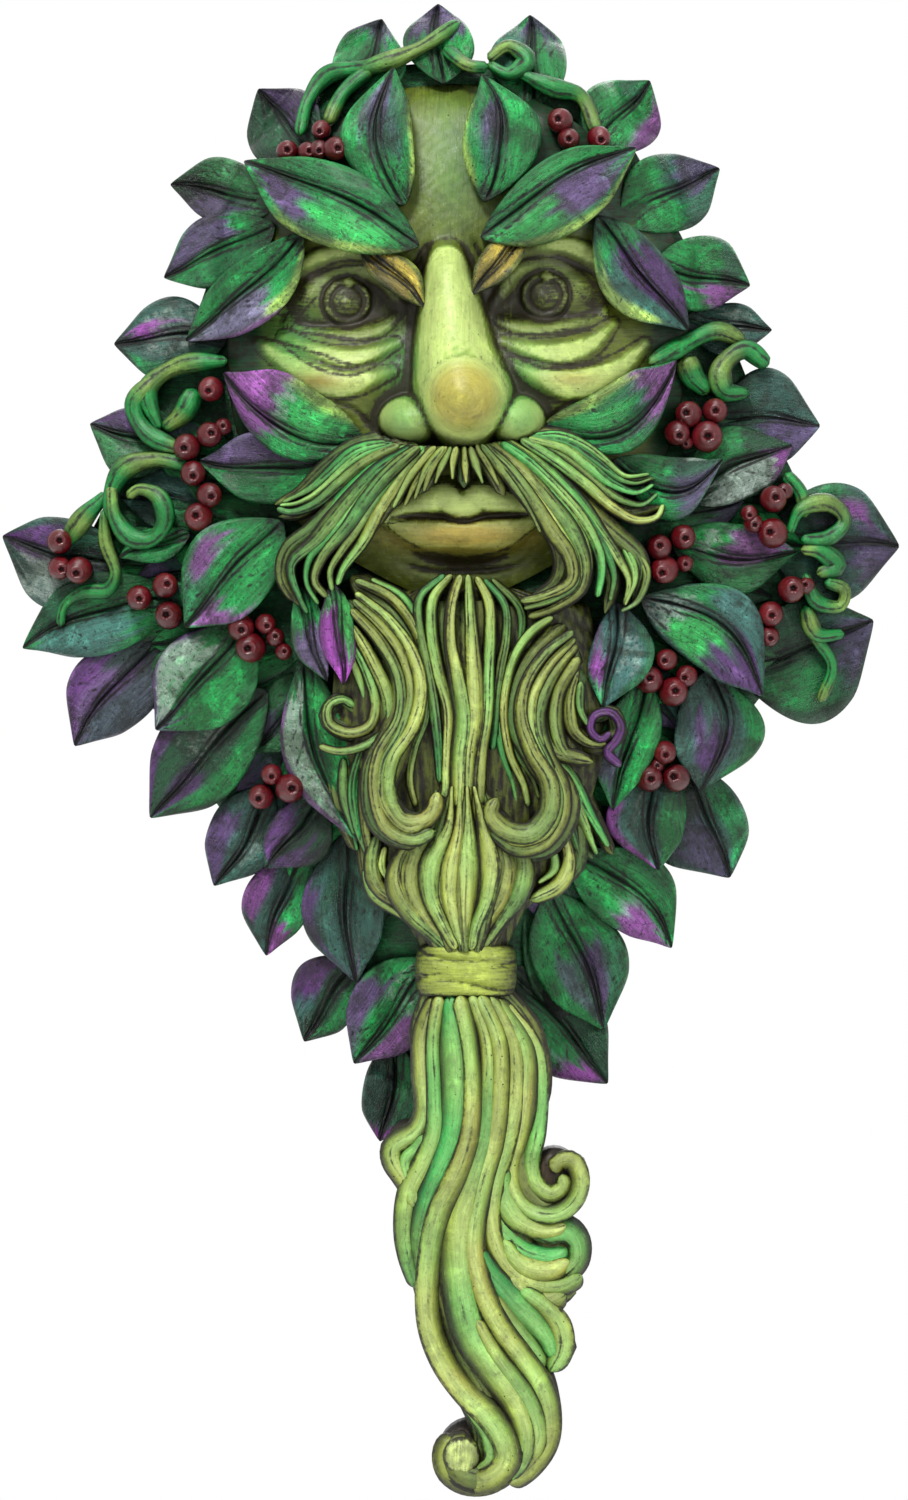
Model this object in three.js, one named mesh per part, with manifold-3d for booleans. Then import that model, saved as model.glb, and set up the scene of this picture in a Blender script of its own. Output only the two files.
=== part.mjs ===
// Green man wall plaque: a foliate face with a tied beard, cast in one piece with a flat back.
// Millimetres. X to the right, Z up. The wall is the plane y = 0 and the carving faces -Y.
import * as THREE from "three";
import { mergeVertices } from "three/addons/utils/BufferGeometryUtils.js";
import Module from "manifold-3d";

const wasm = await Module();
wasm.setup();

// Driving sizes of the casting: its height, the carving's depth from the rim to the tip of the nose, and
// the thickness of the rim against the wall
const plaqueHeight = 373;
const carvingDepth = 65;
const rimThickness = 5;

// Pocket in the back that hooks over a screw head
const hangerWidth = 14;
const hangerHeight = 24;
const hangerDepth = 9;
const hangerMiddle = { x: 1, z: 96 };

// The carving is drawn on a sheet 373 units high. Places and widths below are in drawing units, and
// depths are heights over the rim, 65 units to the tip of the nose.
const sheetHeight = 373;
const sheetDepth = 65;
const unit = plaqueHeight / sheetHeight;
const rise = carvingDepth / sheetDepth;

// Every piece runs through the wall plane by this much, and is cut off flat there
const behindWall = 4;

// The most that faces may move when the surface is faired: leaves, then hair, then the small things
const leafFairing = 1.2;
const hairFairing = 1;
const detailFairing = 0.8;

// Leaves: base x, z, tip x, z, half widths left and right of the growing direction, sideways bend of
// the midrib, tier above the leaves behind.
const leaves = [
  // Crown, left to right
  [-45, 137, -69, 141, 9, 9, -1, 1],
  [-34, 150, -47.5, 164, 11.5, 10, 0, 0],
  [-26, 162, -17.5, 183, 9.5, 9, 0, 0],
  [-5, 170, -8.5, 181.5, 4.5, 4, 0, 0],
  [-2, 166, -3.5, 186.7, 8, 9.5, 0, 1],
  [20, 160, 19.5, 184, 10.5, 9, 0, 0],
  [34, 150, 49.5, 167.5, 10, 10.5, 0, 1],
  [42, 131, 67, 145.5, 10.5, 10, 0, 1],
  // Left flank, top to bottom
  [-44, 131, -71.5, 118.5, 9, 9, 0, 2],
  [-56, 103, -84.5, 101.5, 11, 9.5, 0, 1],
  [-66, 76, -90.5, 81.5, 10.5, 8, 0, 0],
  [-82, 46, -112.5, 53.5, 13.5, 9.5, 0, 1],
  [-68, 38, -107.5, 25.5, 11, 9.5, -2.5, 1],
  [-72, 28, -94.5, 1, 11, 10.5, -2, 0],
  [-51, 32, -74, 5, 13, 11.5, 0, 3],
  [-42, 57, -66.5, 30.5, 11, 12, 0, 4],
  [-46, 15, -75.5, -17, 11, 13, 0, 2],
  [-45, -9, -59.5, -34, 7.5, 10.5, 0, 1],
  [-32, -11, -46.5, -29.5, 9.5, 7, 0, 2],
  [-37, -24, -46.5, -51.5, 8, 9.5, 0, 0],
  [-26, -20, -24, -58, 10, 11, -2, 1],
  [-37, 23, -23, -23, 9, 8, -4, 4],
  [-22, -52, -37, -73, 7.5, 10.5, 0, 0],
  [-5, -52, -24.5, -78.5, 9, 12, 0, 1],
  [-14, -73, -18, -98, 8, 8, 0, 0],
  [-65, 54, -83, 48, 5, 4, 0, 2],
  [-38, 41, -31, 17, 4, 5, 0, 5],
  [-30, 42, -27, 16, 4, 5, 0, 6],
  // Right flank, top to bottom
  [50, 121, 74.5, 116, 11, 8.5, 0, 2],
  [58, 108, 80, 105, 6, 7.5, 0, 0],
  [64, 82, 92, 81, 12.5, 12, 0, 0],
  [58, 62, 85, 76, 10, 9, 1.5, 2],
  [40, 72, 67.5, 72.5, 9, 7, -7, 4],
  [54, 52, 86, 49.5, 9, 9, -3, 1],
  [82, 52, 112, 51, 15, 15.5, 0, 0],
  [70, 20, 105.5, 32.5, 12, 19, 0, 0],
  [47, 38, 77.5, 13.5, 9.5, 12, 7, 4],
  [64, 20, 62, -10, 9.5, 13, 4, 2],
  [49, 18, 40, -15, 7, 8, 0, 4],
  [51, -3, 51.5, -30, 9.5, 10.5, -1, 3],
  [58, -4, 69.5, -32, 9.5, 16, 0, 0],
  [29, -26, 55, -49.5, 9.5, 11, 4.5, 2],
  [24, -35, 38, -70, 11, 12.5, 2.5, 1],
  [13, -54, 39, -83.5, 11, 12, 0, 0],
  [41, 37, 37.5, 10.5, 10, 6, 0, 5],
  // On the face: outer eye, brow, forehead, cheek and inner eye
  [-37, 128, -66.5, 102, 7, 6, 2.5, 3],
  [36, 132, 59, 104.5, 7, 8, 0, 3],
  [-8, 125, -52, 147, 10.5, 10, 0, 5],
  [7, 127, 46, 150, 8, 11, 0, 5],
  [-12, 135, -14.5, 170, 8.5, 9.5, 6, 4],
  [8, 136, 7.5, 168, 9.5, 10, -6, 4],
  [-21.5, 76.5, -57, 94, 6, 13, 6.5, 3],
  [-28, 73, -63, 72, 9, 9.5, 4, 2],
  [22, 79.5, 56, 97, 12, 5, -10, 3],
  [-22, 125, -7, 111, 4, 3.5, 0, 4],
  [19.5, 130, 5.5, 113.5, 3.5, 4, 0, 4],
];

// Berries: x, z, radius
const berries = [
  [-41, 149, 2.7], [-36, 149, 2.3], [-32.5, 154.5, 2.3], [-33, 149.5, 2.3], [-29, 149.5, 2.9],
  [27, 156.5, 3], [29, 152, 2.6], [36.5, 152.5, 2.8],
  [-60, 90, 3], [-57, 80.5, 2], [-60.5, 78.5, 3], [-66, 75.5, 3.2], [-64.5, 69, 3], [-60.5, 63.5, 3],
  [-63, 58, 3.4], [-98, 52, 3], [-98, 45.5, 2.8], [-93, 45, 3.2],
  [-78, 38, 3], [-71.5, 41, 3], [-70.5, 33.5, 3.3],
  [-52.5, 30.5, 3.2], [-46.5, 31.5, 2.4], [-50, 25.5, 3.6], [-44, 28, 2.2], [-42, 24.5, 2],
  [-47.5, -11.5, 3], [-45, -6, 2.5], [-40.5, -9.5, 3.5],
  [59, 83.5, 3.2], [65.5, 84.5, 3], [56, 79, 3], [58.5, 76.5, 1.5], [63.5, 78, 3.8],
  [80, 62.5, 3.2], [83, 64.5, 2], [74, 59, 2], [75, 56.5, 2.3], [80, 54, 3.6],
  [51.5, 50.5, 3], [57.5, 53, 3], [53, 45, 3.3], [58, 46.5, 2],
  [84.5, 40, 3.2], [88.5, 41, 2], [79.5, 34, 3], [79, 28.5, 2.5],
  [53.5, 22.5, 2.6], [49, 17.5, 3.3], [55, 14.5, 3.5], [58.5, 18.5, 2.6],
  [53, -0.5, 2.8], [49, -7, 3.3], [56, -7, 3.3], [51, -4, 1.8],
];

// Tendrils: radius, height over the leaves, then the path x, z
const tendrils = [
  [1.5, 9, 2, 182, -8, 175, -20, 171.5, -31, 169.5, -36, 162, -38, 153],
  [1.3, 8, -20, 170, -27, 164, -31, 156],
  [1.3, 9, -2, 175, 4, 170.5, 9, 170],
  [1.3, 9, 9, 172, 14, 175.5, 18.5, 172, 14, 168.5, 9, 171],
  [1.5, 8, 16, 169, 25, 165, 32, 163, 36, 154],
  [1.7, 8, -56, 97, -68, 96, -76, 90, -73, 80],
  [1.7, 9, -74, 93, -79.5, 86, -76, 79, -68, 75],
  [2, 8, -64, 90, -67, 84, -72, 80],
  [2.1, 9, -68, 71, -79, 72, -84.5, 66, -82, 56, -77.5, 51.5, -71.5, 56.5, -73, 63, -79, 65],
  [1.8, 8, -85, 64, -92, 58, -96, 51],
  [1.4, 8, -87, 57, -84, 46, -87, 39, -94, 40, -98, 37, -97.5, 30],
  [1.8, 8, 49, 96, 58, 101, 66, 104.5, 73, 102],
  [2, 9, 79, 96, 73, 100, 67, 95, 68, 89.5, 74, 89],
  [2.6, 8, 58, 98, 60, 93, 64, 89],
  [1.7, 8, 83, 70, 87, 64, 86, 57],
  [2, 10, 85, 56, 91, 58.5, 94, 56, 88, 52.5],
  [2, 10, 87, 51, 92, 49.5, 95, 46.5, 90, 44],
  [1.8, 10, 88, 44, 91, 38.5, 97, 37, 97.5, 42, 92, 45],
  [1.8, 9, 88, 35, 91, 30, 98, 29.5],
  [1.3, 8, 90, 29, 94, 21, 92, 11],
];

// Locks of hair: width at the root, width at the tip, height at the root, height at the tip, then the
// path x, z
const locks = [
  // Moustache, left side
  [6, 2, 45, 32, -17, 77, -25, 74.5, -32, 69.5, -38, 64, -44, 61],
  [7, 2, 46, 32, -14, 76, -22, 71.5, -30, 65.5, -37, 59, -43, 58],
  [8, 3, 48, 33, -11, 76, -19, 69, -27, 61, -34, 54.5, -40.5, 49.5, -42, 43, -38, 36],
  [8, 3, 49, 34, -8.5, 75.5, -16, 68, -23, 60, -29.5, 52, -35, 46, -34, 38],
  [7, 2.5, 49, 36, -6, 75, -13, 66.5, -19, 58, -25, 50, -29, 41],
  // Moustache, right side
  [6, 2, 45, 32, 20, 77.5, 28, 77, 36, 71.5, 43, 67, 50.5, 67.5],
  [8, 2, 47, 32, 17, 76.5, 26, 72, 35, 64.5, 43, 59, 52.5, 60.5],
  [8, 3, 48, 33, 14, 76, 23, 69, 32, 61, 40, 54, 47, 47, 45, 36],
  [8, 3, 48, 35, 12, 76, 21, 68, 29, 60, 37, 50, 40, 42, 38, 34],
  [8, 3, 49, 37, 10, 75.5, 19, 67, 26, 59, 32, 49, 32, 41, 22, 33],
  [7, 3, 49, 39, 8, 75, 16, 67, 22, 59, 27, 49, 26, 42, 19, 37],
  // Short hairs between the nose and the upper lip
  [5, 3, 51, 47, -5, 75, -11, 67, -15, 60],
  [5, 3, 52, 48, -2, 75, -5, 69, -8, 63.5],
  [5, 3, 52, 49, 3, 75, 3, 70, 3, 65],
  [5, 3, 52, 48, 6, 75, 10, 69, 13, 63],
  // Beard, left side
  [7, 5, 37, 39, -25, 43, -15, 35, -9, 25, -8, 15, -13, -1, -16, -11, -11, -17.5, -6, -17, -4, -10],
  [7, 4, 35, 38, -26, 37, -18, 28, -13, 17, -15, 5, -20, -5, -19, -18, -11, -23, -4, -20],
  [7, 4, 33, 32, -26, 31, -20, 20, -19, 9, -25, 4.5, -31, 8, -28, 12.5, -24, 9],
  [6, 3, 31, 26, -19, 9, -24, 1.5, -34, 1],
  [7, 3, 29, 27, -22, 2, -25, -10, -22, -22, -20, -33, -13, -37],
  [6, 3, 28, 25, -29, -3, -28, -14, -24, -25],
  // Beard, right side
  [7, 5, 37, 39, 28, 31, 19, 20, 16, 8, 21, -3, 26, -12, 22, -20, 14, -21, 10, -13],
  [7, 4, 35, 37, 31, 25, 23, 13, 24, 1, 35, -3],
  [7, 4, 33, 33, 32, 20, 28, 8, 34, 1.5, 41, 4, 39.5, 9.5, 35, 7],
  [7, 4, 35, 36, 24, -3, 29, -14, 24, -24, 14, -25, 8, -20],
  [7, 3, 29, 29, 31, -18, 30, -29, 19, -37],
  [7, 3, 29, 23, 27, 0, 33, -13, 40, -26],
  [6, 3, 28, 23, 24, -2, 30, -16, 35, -27],
  // Lobes and curls that leave the tail of the beard
  [8, 5, 26, 24, 20, -80, 17, -98, 19, -110, 26, -114, 31.5, -109, 30.5, -103, 25.5, -104],
  [8, 6, 24, 21, 15, -88, 13, -108, 20, -118, 28.5, -118],
  [9, 8, 24, 21, 12, -92, 12, -114, 18, -125, 26, -130, 32.5, -129],
  [8, 7, 23, 20, 9, -104, 13, -124, 22, -134.5, 31, -135],
  [9, 8, 23, 19, 7, -112, 10, -127, 18, -139, 26, -146, 28.5, -153],
  [9, 7, 21, 20, 14, -152, 18, -164, 16, -176, 9, -182, 1.5, -180, 0.5, -173.5, 6, -173],
  [7, 5, 23, 18, -4, -78, -6, -92, -10, -101, -16.5, -99.5],
];

// Strands that fill the space between two edges: z, left x, right x at each level, top to bottom
const chinColumn = {
  strands: 5,
  topHeight: 38,
  middleHeight: 35,
  bottomHeight: 33,
  crown: 4,
  levels: [
    [44, 0, 7], [36, -10, 13], [20, -4.5, 10], [4, -1, 9], [-10, -3, 8.5],
    [-19, -9, 15], [-28, -14, 20], [-38, -11, 16], [-50, -4, 10],
  ],
};
const tail = {
  strands: 6,
  topHeight: 29,
  middleHeight: 21,
  bottomHeight: 15,
  crown: 5,
  levels: [
    [-60, -7, 14], [-70, -10, 22], [-85, -8, 24], [-100, -9, 16], [-115, -12.5, 11], [-130, -10, 13],
    [-140, -7.5, 17], [-150, -4.5, 22], [-160, 1, 26], [-170, 5, 26.5], [-181, 5, 18],
  ],
};

// The band that ties the beard
const band = { x: 3.5, halfWidth: 11.2, top: -49, bottom: -61, depth: 32, bulge: 1.2, fold: 3.5, fall: 9 };

// The face: its oval, and what stands on it
const face = { x: 1, halfWidth: 57, bottom: 38, top: 168, columns: 18, rows: 20, narrowing: 0.86 };
const eyes = [
  { x: -26, z: 111.5 },
  { x: 23, z: 113 },
];
const eyeball = { radiusX: 9.5, radiusZ: 6.5, over: 4.5 };
const iris = { radiusX: 6.3, radiusZ: 6.3, over: 5.6 };

// Hollows and swellings of the face: the socket, the cheek under it, the muzzle and the dip of the chin
const socket = { above: 1, radiusX: 16, radiusZ: 11, deep: 7 };
const cheek = { outward: 1.2, below: 22, radiusX: 15, radiusZ: 8, high: 4 };
const muzzle = { x: 2.5, z: 62, radiusX: 26, radiusZ: 16, high: 6 };
const chinDip = { x: 3, z: 48, radiusX: 16, radiusZ: 4, deep: 3.5 };

// Nose: z, middle x, half width, height of its ridge
const nose = [
  [130, -1.5, 3, 39], [120, -1.3, 4.6, 46], [110, -0.3, 7.5, 51], [100, 0.4, 9.5, 56], [93, 2, 11.5, 61],
  [87, 3, 12, 65], [81, 3, 10.5, 62.5], [77, 3, 7.5, 56], [75, 3, 4, 45],
];
// Its section, as shares of the half width and of the height over the face
const noseSection = [
  [-1, 0], [-1, 0.3], [-0.8, 0.62], [-0.4, 0.93], [0, 1], [0.4, 0.93], [0.8, 0.62], [1, 0.3], [1, 0],
];
const nostrils = [
  { x: -10.5, z: 82, radiusX: 8, radiusZ: 6.6, depth: 53 },
  { x: 14.5, z: 82, radiusX: 7.6, radiusZ: 6.8, depth: 53 },
];

// Folds of the face: width, height over the face, then the path x, z
const folds = [
  // Upper lid, lower lid and the two bags under each eye
  [3.4, 3, -41, 106, -34, 115.5, -26, 119, -18, 117.5, -12.5, 110.5],
  [3, 2.4, -40, 105.5, -33, 103.5, -26, 103, -18, 104.5, -12.5, 108.5],
  [6, 2.6, -42, 103, -34, 99.5, -25, 97.5, -14, 101],
  [6.5, 2.6, -48, 101, -36, 94.5, -26, 91.5, -15, 94],
  [3.4, 3, 38, 109, 32, 116, 24, 120, 17, 118.5, 9.5, 109],
  [3, 2.4, 38, 108, 30, 106, 22, 104.5, 15, 105.5, 9.5, 108],
  [6, 2.6, 40, 106, 34, 101, 24, 99, 13, 101.5],
  [6.5, 2.6, 48, 101, 40, 94, 28, 91, 14, 96],
  // Fold over each eye
  [4, 2.5, -44, 110, -38, 119, -28, 123, -19, 121.5],
  [4, 2.5, 44, 110, 38, 120, 28, 125, 17, 123],
  // Lips
  [5, 4.5, -16, 57.5, -6, 61, 3, 60, 12, 61, 22, 58.5],
  [6, 5.2, -14, 56, -6, 53.2, 3, 52.8, 11, 53.2, 20, 57],
];

const clamp = (value, low, high) => Math.min(high, Math.max(low, value));
const mix = (a, b, share) => a + (b - a) * share;
const bell = (x, z, middleX, middleZ, { radiusX, radiusZ }) =>
  Math.exp(-(((x - middleX) / radiusX) ** 2) - ((z - middleZ) / radiusZ) ** 2);

// A table of [key, value...] rows read at a key between its rows, keys falling or rising
function readLevels(levels, key, column) {
  const falling = levels[0][0] > levels[1][0];
  let row = 0;
  while (row < levels.length - 2 && (falling ? key < levels[row + 1][0] : key > levels[row + 1][0])) {
    row += 1;
  }
  const share = clamp((key - levels[row][0]) / (levels[row + 1][0] - levels[row][0]), 0, 1);
  const smooth = share * share * (3 - 2 * share);
  return mix(levels[row][column], levels[row + 1][column], smooth);
}

// The swelling mass that carries the leaves: a kite that is thick under the face and thin at its points
const kite = { x: 1, z: 60, halfWidth: 112, above: 126, below: 150, height: 32, roundness: 1.35, fall: 0.75 };
const mound = { x: 1, z: 96, halfWidth: 66, halfHeight: 88, height: 35 };
const beardMound = { x: 3, z: -8, halfWidth: 38, halfHeight: 62, height: 27 };
const moundFall = 0.6;

function kiteHeight(x, z) {
  const across = Math.abs(x - kite.x) / kite.halfWidth;
  const along = Math.abs(z - kite.z) / (z > kite.z ? kite.above : kite.below);
  const outward = (across ** kite.roundness + along ** kite.roundness) ** (1 / kite.roundness);
  return kite.height * (1 - Math.min(1, outward)) ** kite.fall;
}

function moundHeight(shape, x, z) {
  const outward = ((x - shape.x) / shape.halfWidth) ** 2 + ((z - shape.z) / shape.halfHeight) ** 2;
  return shape.height * (1 - Math.min(1, outward)) ** moundFall;
}

const ground = (x, z) =>
  Math.max(kiteHeight(x, z), moundHeight(mound, x, z), moundHeight(beardMound, x, z));

const faceOverGround = 1;

function faceHeight(x, z) {
  let height = moundHeight(mound, x, z) + faceOverGround;
  for (const eye of eyes) {
    height -= socket.deep * bell(x, z, eye.x, eye.z + socket.above, socket);
    height += cheek.high * bell(x, z, eye.x * cheek.outward, eye.z - cheek.below, cheek);
  }
  height += muzzle.high * bell(x, z, muzzle.x, muzzle.z, muzzle);
  height -= chinDip.deep * bell(x, z, chinDip.x, chinDip.z, chinDip);
  return height;
}

// Closed solids from rows of points. Each row is one ring, and the two ends are closed by fans.
function solidFrom(points, triangles) {
  const geometry = new THREE.BufferGeometry();
  geometry.setAttribute("position", new THREE.Float32BufferAttribute(points.flat(), 3));
  geometry.setIndex(triangles.flat());
  return toManifold(geometry);
}

const mergeDistance = 1e-4;

function toManifold(geometry) {
  const bare = geometry.clone();
  bare.deleteAttribute("normal");
  bare.deleteAttribute("uv");
  const merged = mergeVertices(bare, mergeDistance);
  return new wasm.Manifold(new wasm.Mesh({
    numProp: 3,
    vertProperties: new Float32Array(merged.attributes.position.array),
    triVerts: new Uint32Array(merged.index.array),
  }));
}

// Drawing sheet to space: a point over the rim, and a point behind the wall plane
const place = (x, z, height) => [x * unit, -rimThickness - height * rise, z * unit];
const placeBehind = (x, z) => [x * unit, behindWall, z * unit];

function loft(rings) {
  const count = rings[0].length;
  const points = rings.flat();
  const triangles = [];
  for (let row = 0; row < rings.length - 1; row += 1) {
    for (let i = 0; i < count; i += 1) {
      const a = row * count + i;
      const b = row * count + (i + 1) % count;
      triangles.push([a, b + count, b], [a, a + count, b + count]);
    }
  }
  const last = (rings.length - 1) * count;
  for (let i = 1; i < count - 1; i += 1) {
    triangles.push([0, i, i + 1], [last, last + i + 1, last + i]);
  }
  return solidFrom(points, triangles);
}

// The plain mass of the face: a height field over its oval, closed down to behind the wall
function faceMass() {
  const { columns, rows } = face;
  const points = [];
  const triangles = [];
  const width = columns + 1;
  const layer = width * (rows + 1);
  const middleZ = (face.top + face.bottom) / 2;
  const halfHeight = (face.top - face.bottom) / 2;
  for (const back of [false, true]) {
    for (let row = 0; row <= rows; row += 1) {
      for (let column = 0; column <= columns; column += 1) {
        const z = mix(face.bottom, face.top, row / rows);
        const half = face.halfWidth * (1 - face.narrowing * Math.abs((z - middleZ) / halfHeight) ** 3);
        const x = face.x + half * mix(-1, 1, column / columns);
        points.push(back ? placeBehind(x, z) : place(x, z, faceHeight(x, z)));
      }
    }
  }
  for (let row = 0; row < rows; row += 1) {
    for (let column = 0; column < columns; column += 1) {
      const a = row * width + column;
      const b = a + 1;
      const c = a + width + 1;
      const d = a + width;
      triangles.push([a, b, c], [a, c, d]);
      triangles.push([a + layer, c + layer, b + layer], [a + layer, d + layer, c + layer]);
    }
  }
  const wall = (a, b) => triangles.push([a, a + layer, b + layer], [a, b + layer, b]);
  for (let column = 0; column < columns; column += 1) {
    wall(column, column + 1);
    wall(rows * width + column + 1, rows * width + column);
  }
  for (let row = 0; row < rows; row += 1) {
    wall((row + 1) * width, row * width);
    wall(row * width + columns, (row + 1) * width + columns);
  }
  return solidFrom(points, triangles);
}

// A pointed leaf: five lines from base to tip, which are two edges, two crests and the midrib groove. Its
// rim leans in towards the wall, so that the edge looks thin.
const tierStep = 1.8;
const leafTilt = 4.5;
const tiltPivot = 0.35;
const leafPillow = 1.9;
const leafGroove = 1.4;
const rimLean = 0.8;
const leafStations = [0.12, 0.38, 0.66, 0.88];
const leafLines = [-1, -0.5, 0, 0.5, 1];
const leafFullness = 0.85;

function leafOutline(share) {
  return (4 * share * (1 - share)) ** leafFullness;
}

function leaf([baseX, baseZ, tipX, tipZ, left, right, bend, tier]) {
  const length = Math.hypot(tipX - baseX, tipZ - baseZ);
  const along = [(tipX - baseX) / length, (tipZ - baseZ) / length];
  const aside = [-along[1], along[0]];
  const at = (share, line) => {
    const width = line > 0 ? left : right;
    const offset = 4 * share * (1 - share) * bend + line * width * leafOutline(share);
    return [
      baseX + along[0] * length * share + aside[0] * offset,
      baseZ + along[1] * length * share + aside[1] * offset,
    ];
  };
  const heightAt = (x, z, share, line) => {
    const reach = Math.abs(line);
    const swell = reach === 0 ? -leafGroove : reach < 1 ? leafPillow : 0;
    return ground(x, z) + tier * tierStep + leafTilt * (share - tiltPivot) + swell * leafOutline(share);
  };
  const points = [];
  const put = (share, line, back) => {
    const [x, z] = back ? at(mix(0.5, share, rimLean), line * rimLean) : at(share, line);
    points.push(back ? placeBehind(x, z) : place(x, z, heightAt(x, z, share, line)));
    return points.length - 1;
  };
  const front = leafStations.map((share) => leafLines.map((line) => put(share, line, false)));
  const back = leafStations.map((share) => [put(share, -1, true), put(share, 1, true)]);
  const baseFront = put(0, 0, false);
  const tipFront = put(1, 0, false);
  const baseBack = put(0, 0, true);
  const tipBack = put(1, 0, true);
  const last = leafStations.length - 1;
  const triangles = [];
  const face3 = (a, b, c) => triangles.push([a, b, c]);
  for (let line = 0; line < 4; line += 1) {
    face3(baseFront, front[0][line], front[0][line + 1]);
    face3(tipFront, front[last][line + 1], front[last][line]);
    for (let row = 0; row < last; row += 1) {
      face3(front[row][line], front[row + 1][line], front[row + 1][line + 1]);
      face3(front[row][line], front[row + 1][line + 1], front[row][line + 1]);
    }
  }
  face3(baseBack, back[0][1], back[0][0]);
  face3(tipBack, back[last][0], back[last][1]);
  for (let row = 0; row < last; row += 1) {
    face3(back[row][0], back[row + 1][1], back[row + 1][0]);
    face3(back[row][0], back[row][1], back[row + 1][1]);
  }
  const rightSide = [baseFront, ...front.map((row) => row[0]), tipFront];
  const rightBack = [baseBack, ...back.map((row) => row[0]), tipBack];
  const leftSide = [baseFront, ...front.map((row) => row[4]), tipFront];
  const leftBack = [baseBack, ...back.map((row) => row[1]), tipBack];
  for (let i = 0; i < rightSide.length - 1; i += 1) {
    face3(rightSide[i], rightBack[i], rightBack[i + 1]);
    face3(rightSide[i], rightBack[i + 1], rightSide[i + 1]);
    face3(leftSide[i], leftBack[i + 1], leftBack[i]);
    face3(leftSide[i], leftSide[i + 1], leftBack[i + 1]);
  }
  return solidFrom(points, triangles);
}

// A path on the sheet as stations with their sideways direction, closer together where it turns
const turnStep = 0.75;
const pathSamples = 120;

function stations(path, spacing) {
  const knots = [];
  for (let i = 0; i < path.length; i += 2) {
    knots.push(new THREE.Vector3(path[i], 0, path[i + 1]));
  }
  const curve = new THREE.CatmullRomCurve3(knots, false, "centripetal");
  const step = curve.getLength() / pathSamples;
  const effort = [0];
  for (let i = 1; i <= pathSamples; i += 1) {
    const turn = curve.getTangentAt((i - 1) / pathSamples).angleTo(curve.getTangentAt(i / pathSamples));
    effort.push(effort[i - 1] + step / spacing + turn / turnStep);
  }
  const count = Math.max(2, Math.round(effort[pathSamples]));
  const rows = [];
  let sample = 0;
  for (let i = 0; i <= count; i += 1) {
    while (sample < pathSamples && effort[sample] < (i / count) * effort[pathSamples]) {
      sample += 1;
    }
    const share = i === count ? 1 : sample / pathSamples;
    const point = curve.getPointAt(share);
    const tangent = curve.getTangentAt(share);
    rows.push({ share, x: point.x, z: point.z, asideX: -tangent.z, asideZ: tangent.x });
  }
  return rows;
}

// A raised strip with a rounded ridge along its path, down to a foot, or through the wall plane without one
function ridgeAlong(rows, { widthAt, topAt, footAt, fall }) {
  return loft(rows.map((row) => {
    const half = widthAt(row) / 2;
    const top = topAt(row);
    const shoulder = top - half * fall;
    const side = (across) => [row.x + row.asideX * across * half, row.z + row.asideZ * across * half];
    const foot = (across) => (footAt ? place(...side(across), footAt(row)) : placeBehind(...side(across)));
    return [
      foot(-1),
      place(...side(-1), shoulder),
      place(...side(0), top),
      place(...side(1), shoulder),
      foot(1),
    ];
  }));
}

const lockSpacing = 12;
const strandSpacing = 14;
const strandOverlap = 1.25;
const lockFall = 0.6;

function lock([rootWidth, tipWidth, rootTop, tipTop, ...path]) {
  return ridgeAlong(stations(path, lockSpacing), {
    widthAt: (row) => mix(rootWidth, tipWidth, row.share ** 2),
    topAt: (row) => mix(rootTop, tipTop, row.share),
    fall: lockFall,
  });
}

// Strands side by side between two edges
function sheaf(shape) {
  const { strands, levels } = shape;
  return Array.from({ length: strands }, (_, i) => {
    const across = (i + 0.5) / strands;
    const path = levels.flatMap(([z, left, right]) => [mix(left, right, across), z]);
    const crown = shape.crown * Math.sin(Math.PI * across);
    const sheafWidth = (row) => readLevels(levels, row.z, 2) - readLevels(levels, row.z, 1);
    return ridgeAlong(stations(path, strandSpacing), {
      widthAt: (row) => strandOverlap * sheafWidth(row) / strands,
      topAt: (row) => crown + (row.share < 0.5
        ? mix(shape.topHeight, shape.middleHeight, row.share * 2)
        : mix(shape.middleHeight, shape.bottomHeight, row.share * 2 - 1)),
      fall: lockFall,
    });
  });
}

// A tendril lying over the leaves, thinner at its ends, standing on the leaves under it
const tendrilSpacing = 8;
const tendrilFall = 0.9;
const tendrilEnds = 0.7;
const footInLeaf = 2;

function tendril([radius, over, ...path]) {
  return ridgeAlong(stations(path, tendrilSpacing), {
    widthAt: (row) => 2 * radius * mix(tendrilEnds, 1, Math.sin(Math.PI * row.share)),
    topAt: (row) => ground(row.x, row.z) + over,
    footAt: (row) => ground(row.x, row.z) - footInLeaf,
    fall: tendrilFall,
  });
}

// A fold of skin or a lip standing on the face, running out at both ends
const foldSpacing = 5;
const foldFall = 0.5;
const foldEnds = 0.35;
const footInFace = 4;

function fold([width, over, ...path]) {
  const swell = (share) => mix(foldEnds, 1, Math.sin(Math.PI * share));
  return ridgeAlong(stations(path, foldSpacing), {
    widthAt: (row) => width * swell(row.share),
    topAt: (row) => faceHeight(row.x, row.z) + over * swell(row.share),
    footAt: (row) => faceHeight(row.x, row.z) - footInFace,
    fall: foldFall,
  });
}

function noseSolid() {
  return loft(nose.map(([z, middle, half, top]) => {
    const foot = faceHeight(middle, z) - footInFace;
    return noseSection.map(([side, share]) => place(middle + side * half, z, mix(foot, top, share)));
  }));
}

// Rings one over another round a point: [share of the radius, height] from the foot up
function dome({ x, z }, { radiusX, radiusZ }, rings, sides, turn = 0) {
  return loft(rings.map(([reach, height]) => Array.from({ length: sides }, (_, i) => {
    const angle = turn - (2 * Math.PI * i) / sides;
    return place(x + reach * radiusX * Math.cos(angle), z + reach * radiusZ * Math.sin(angle), height);
  })));
}

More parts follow.
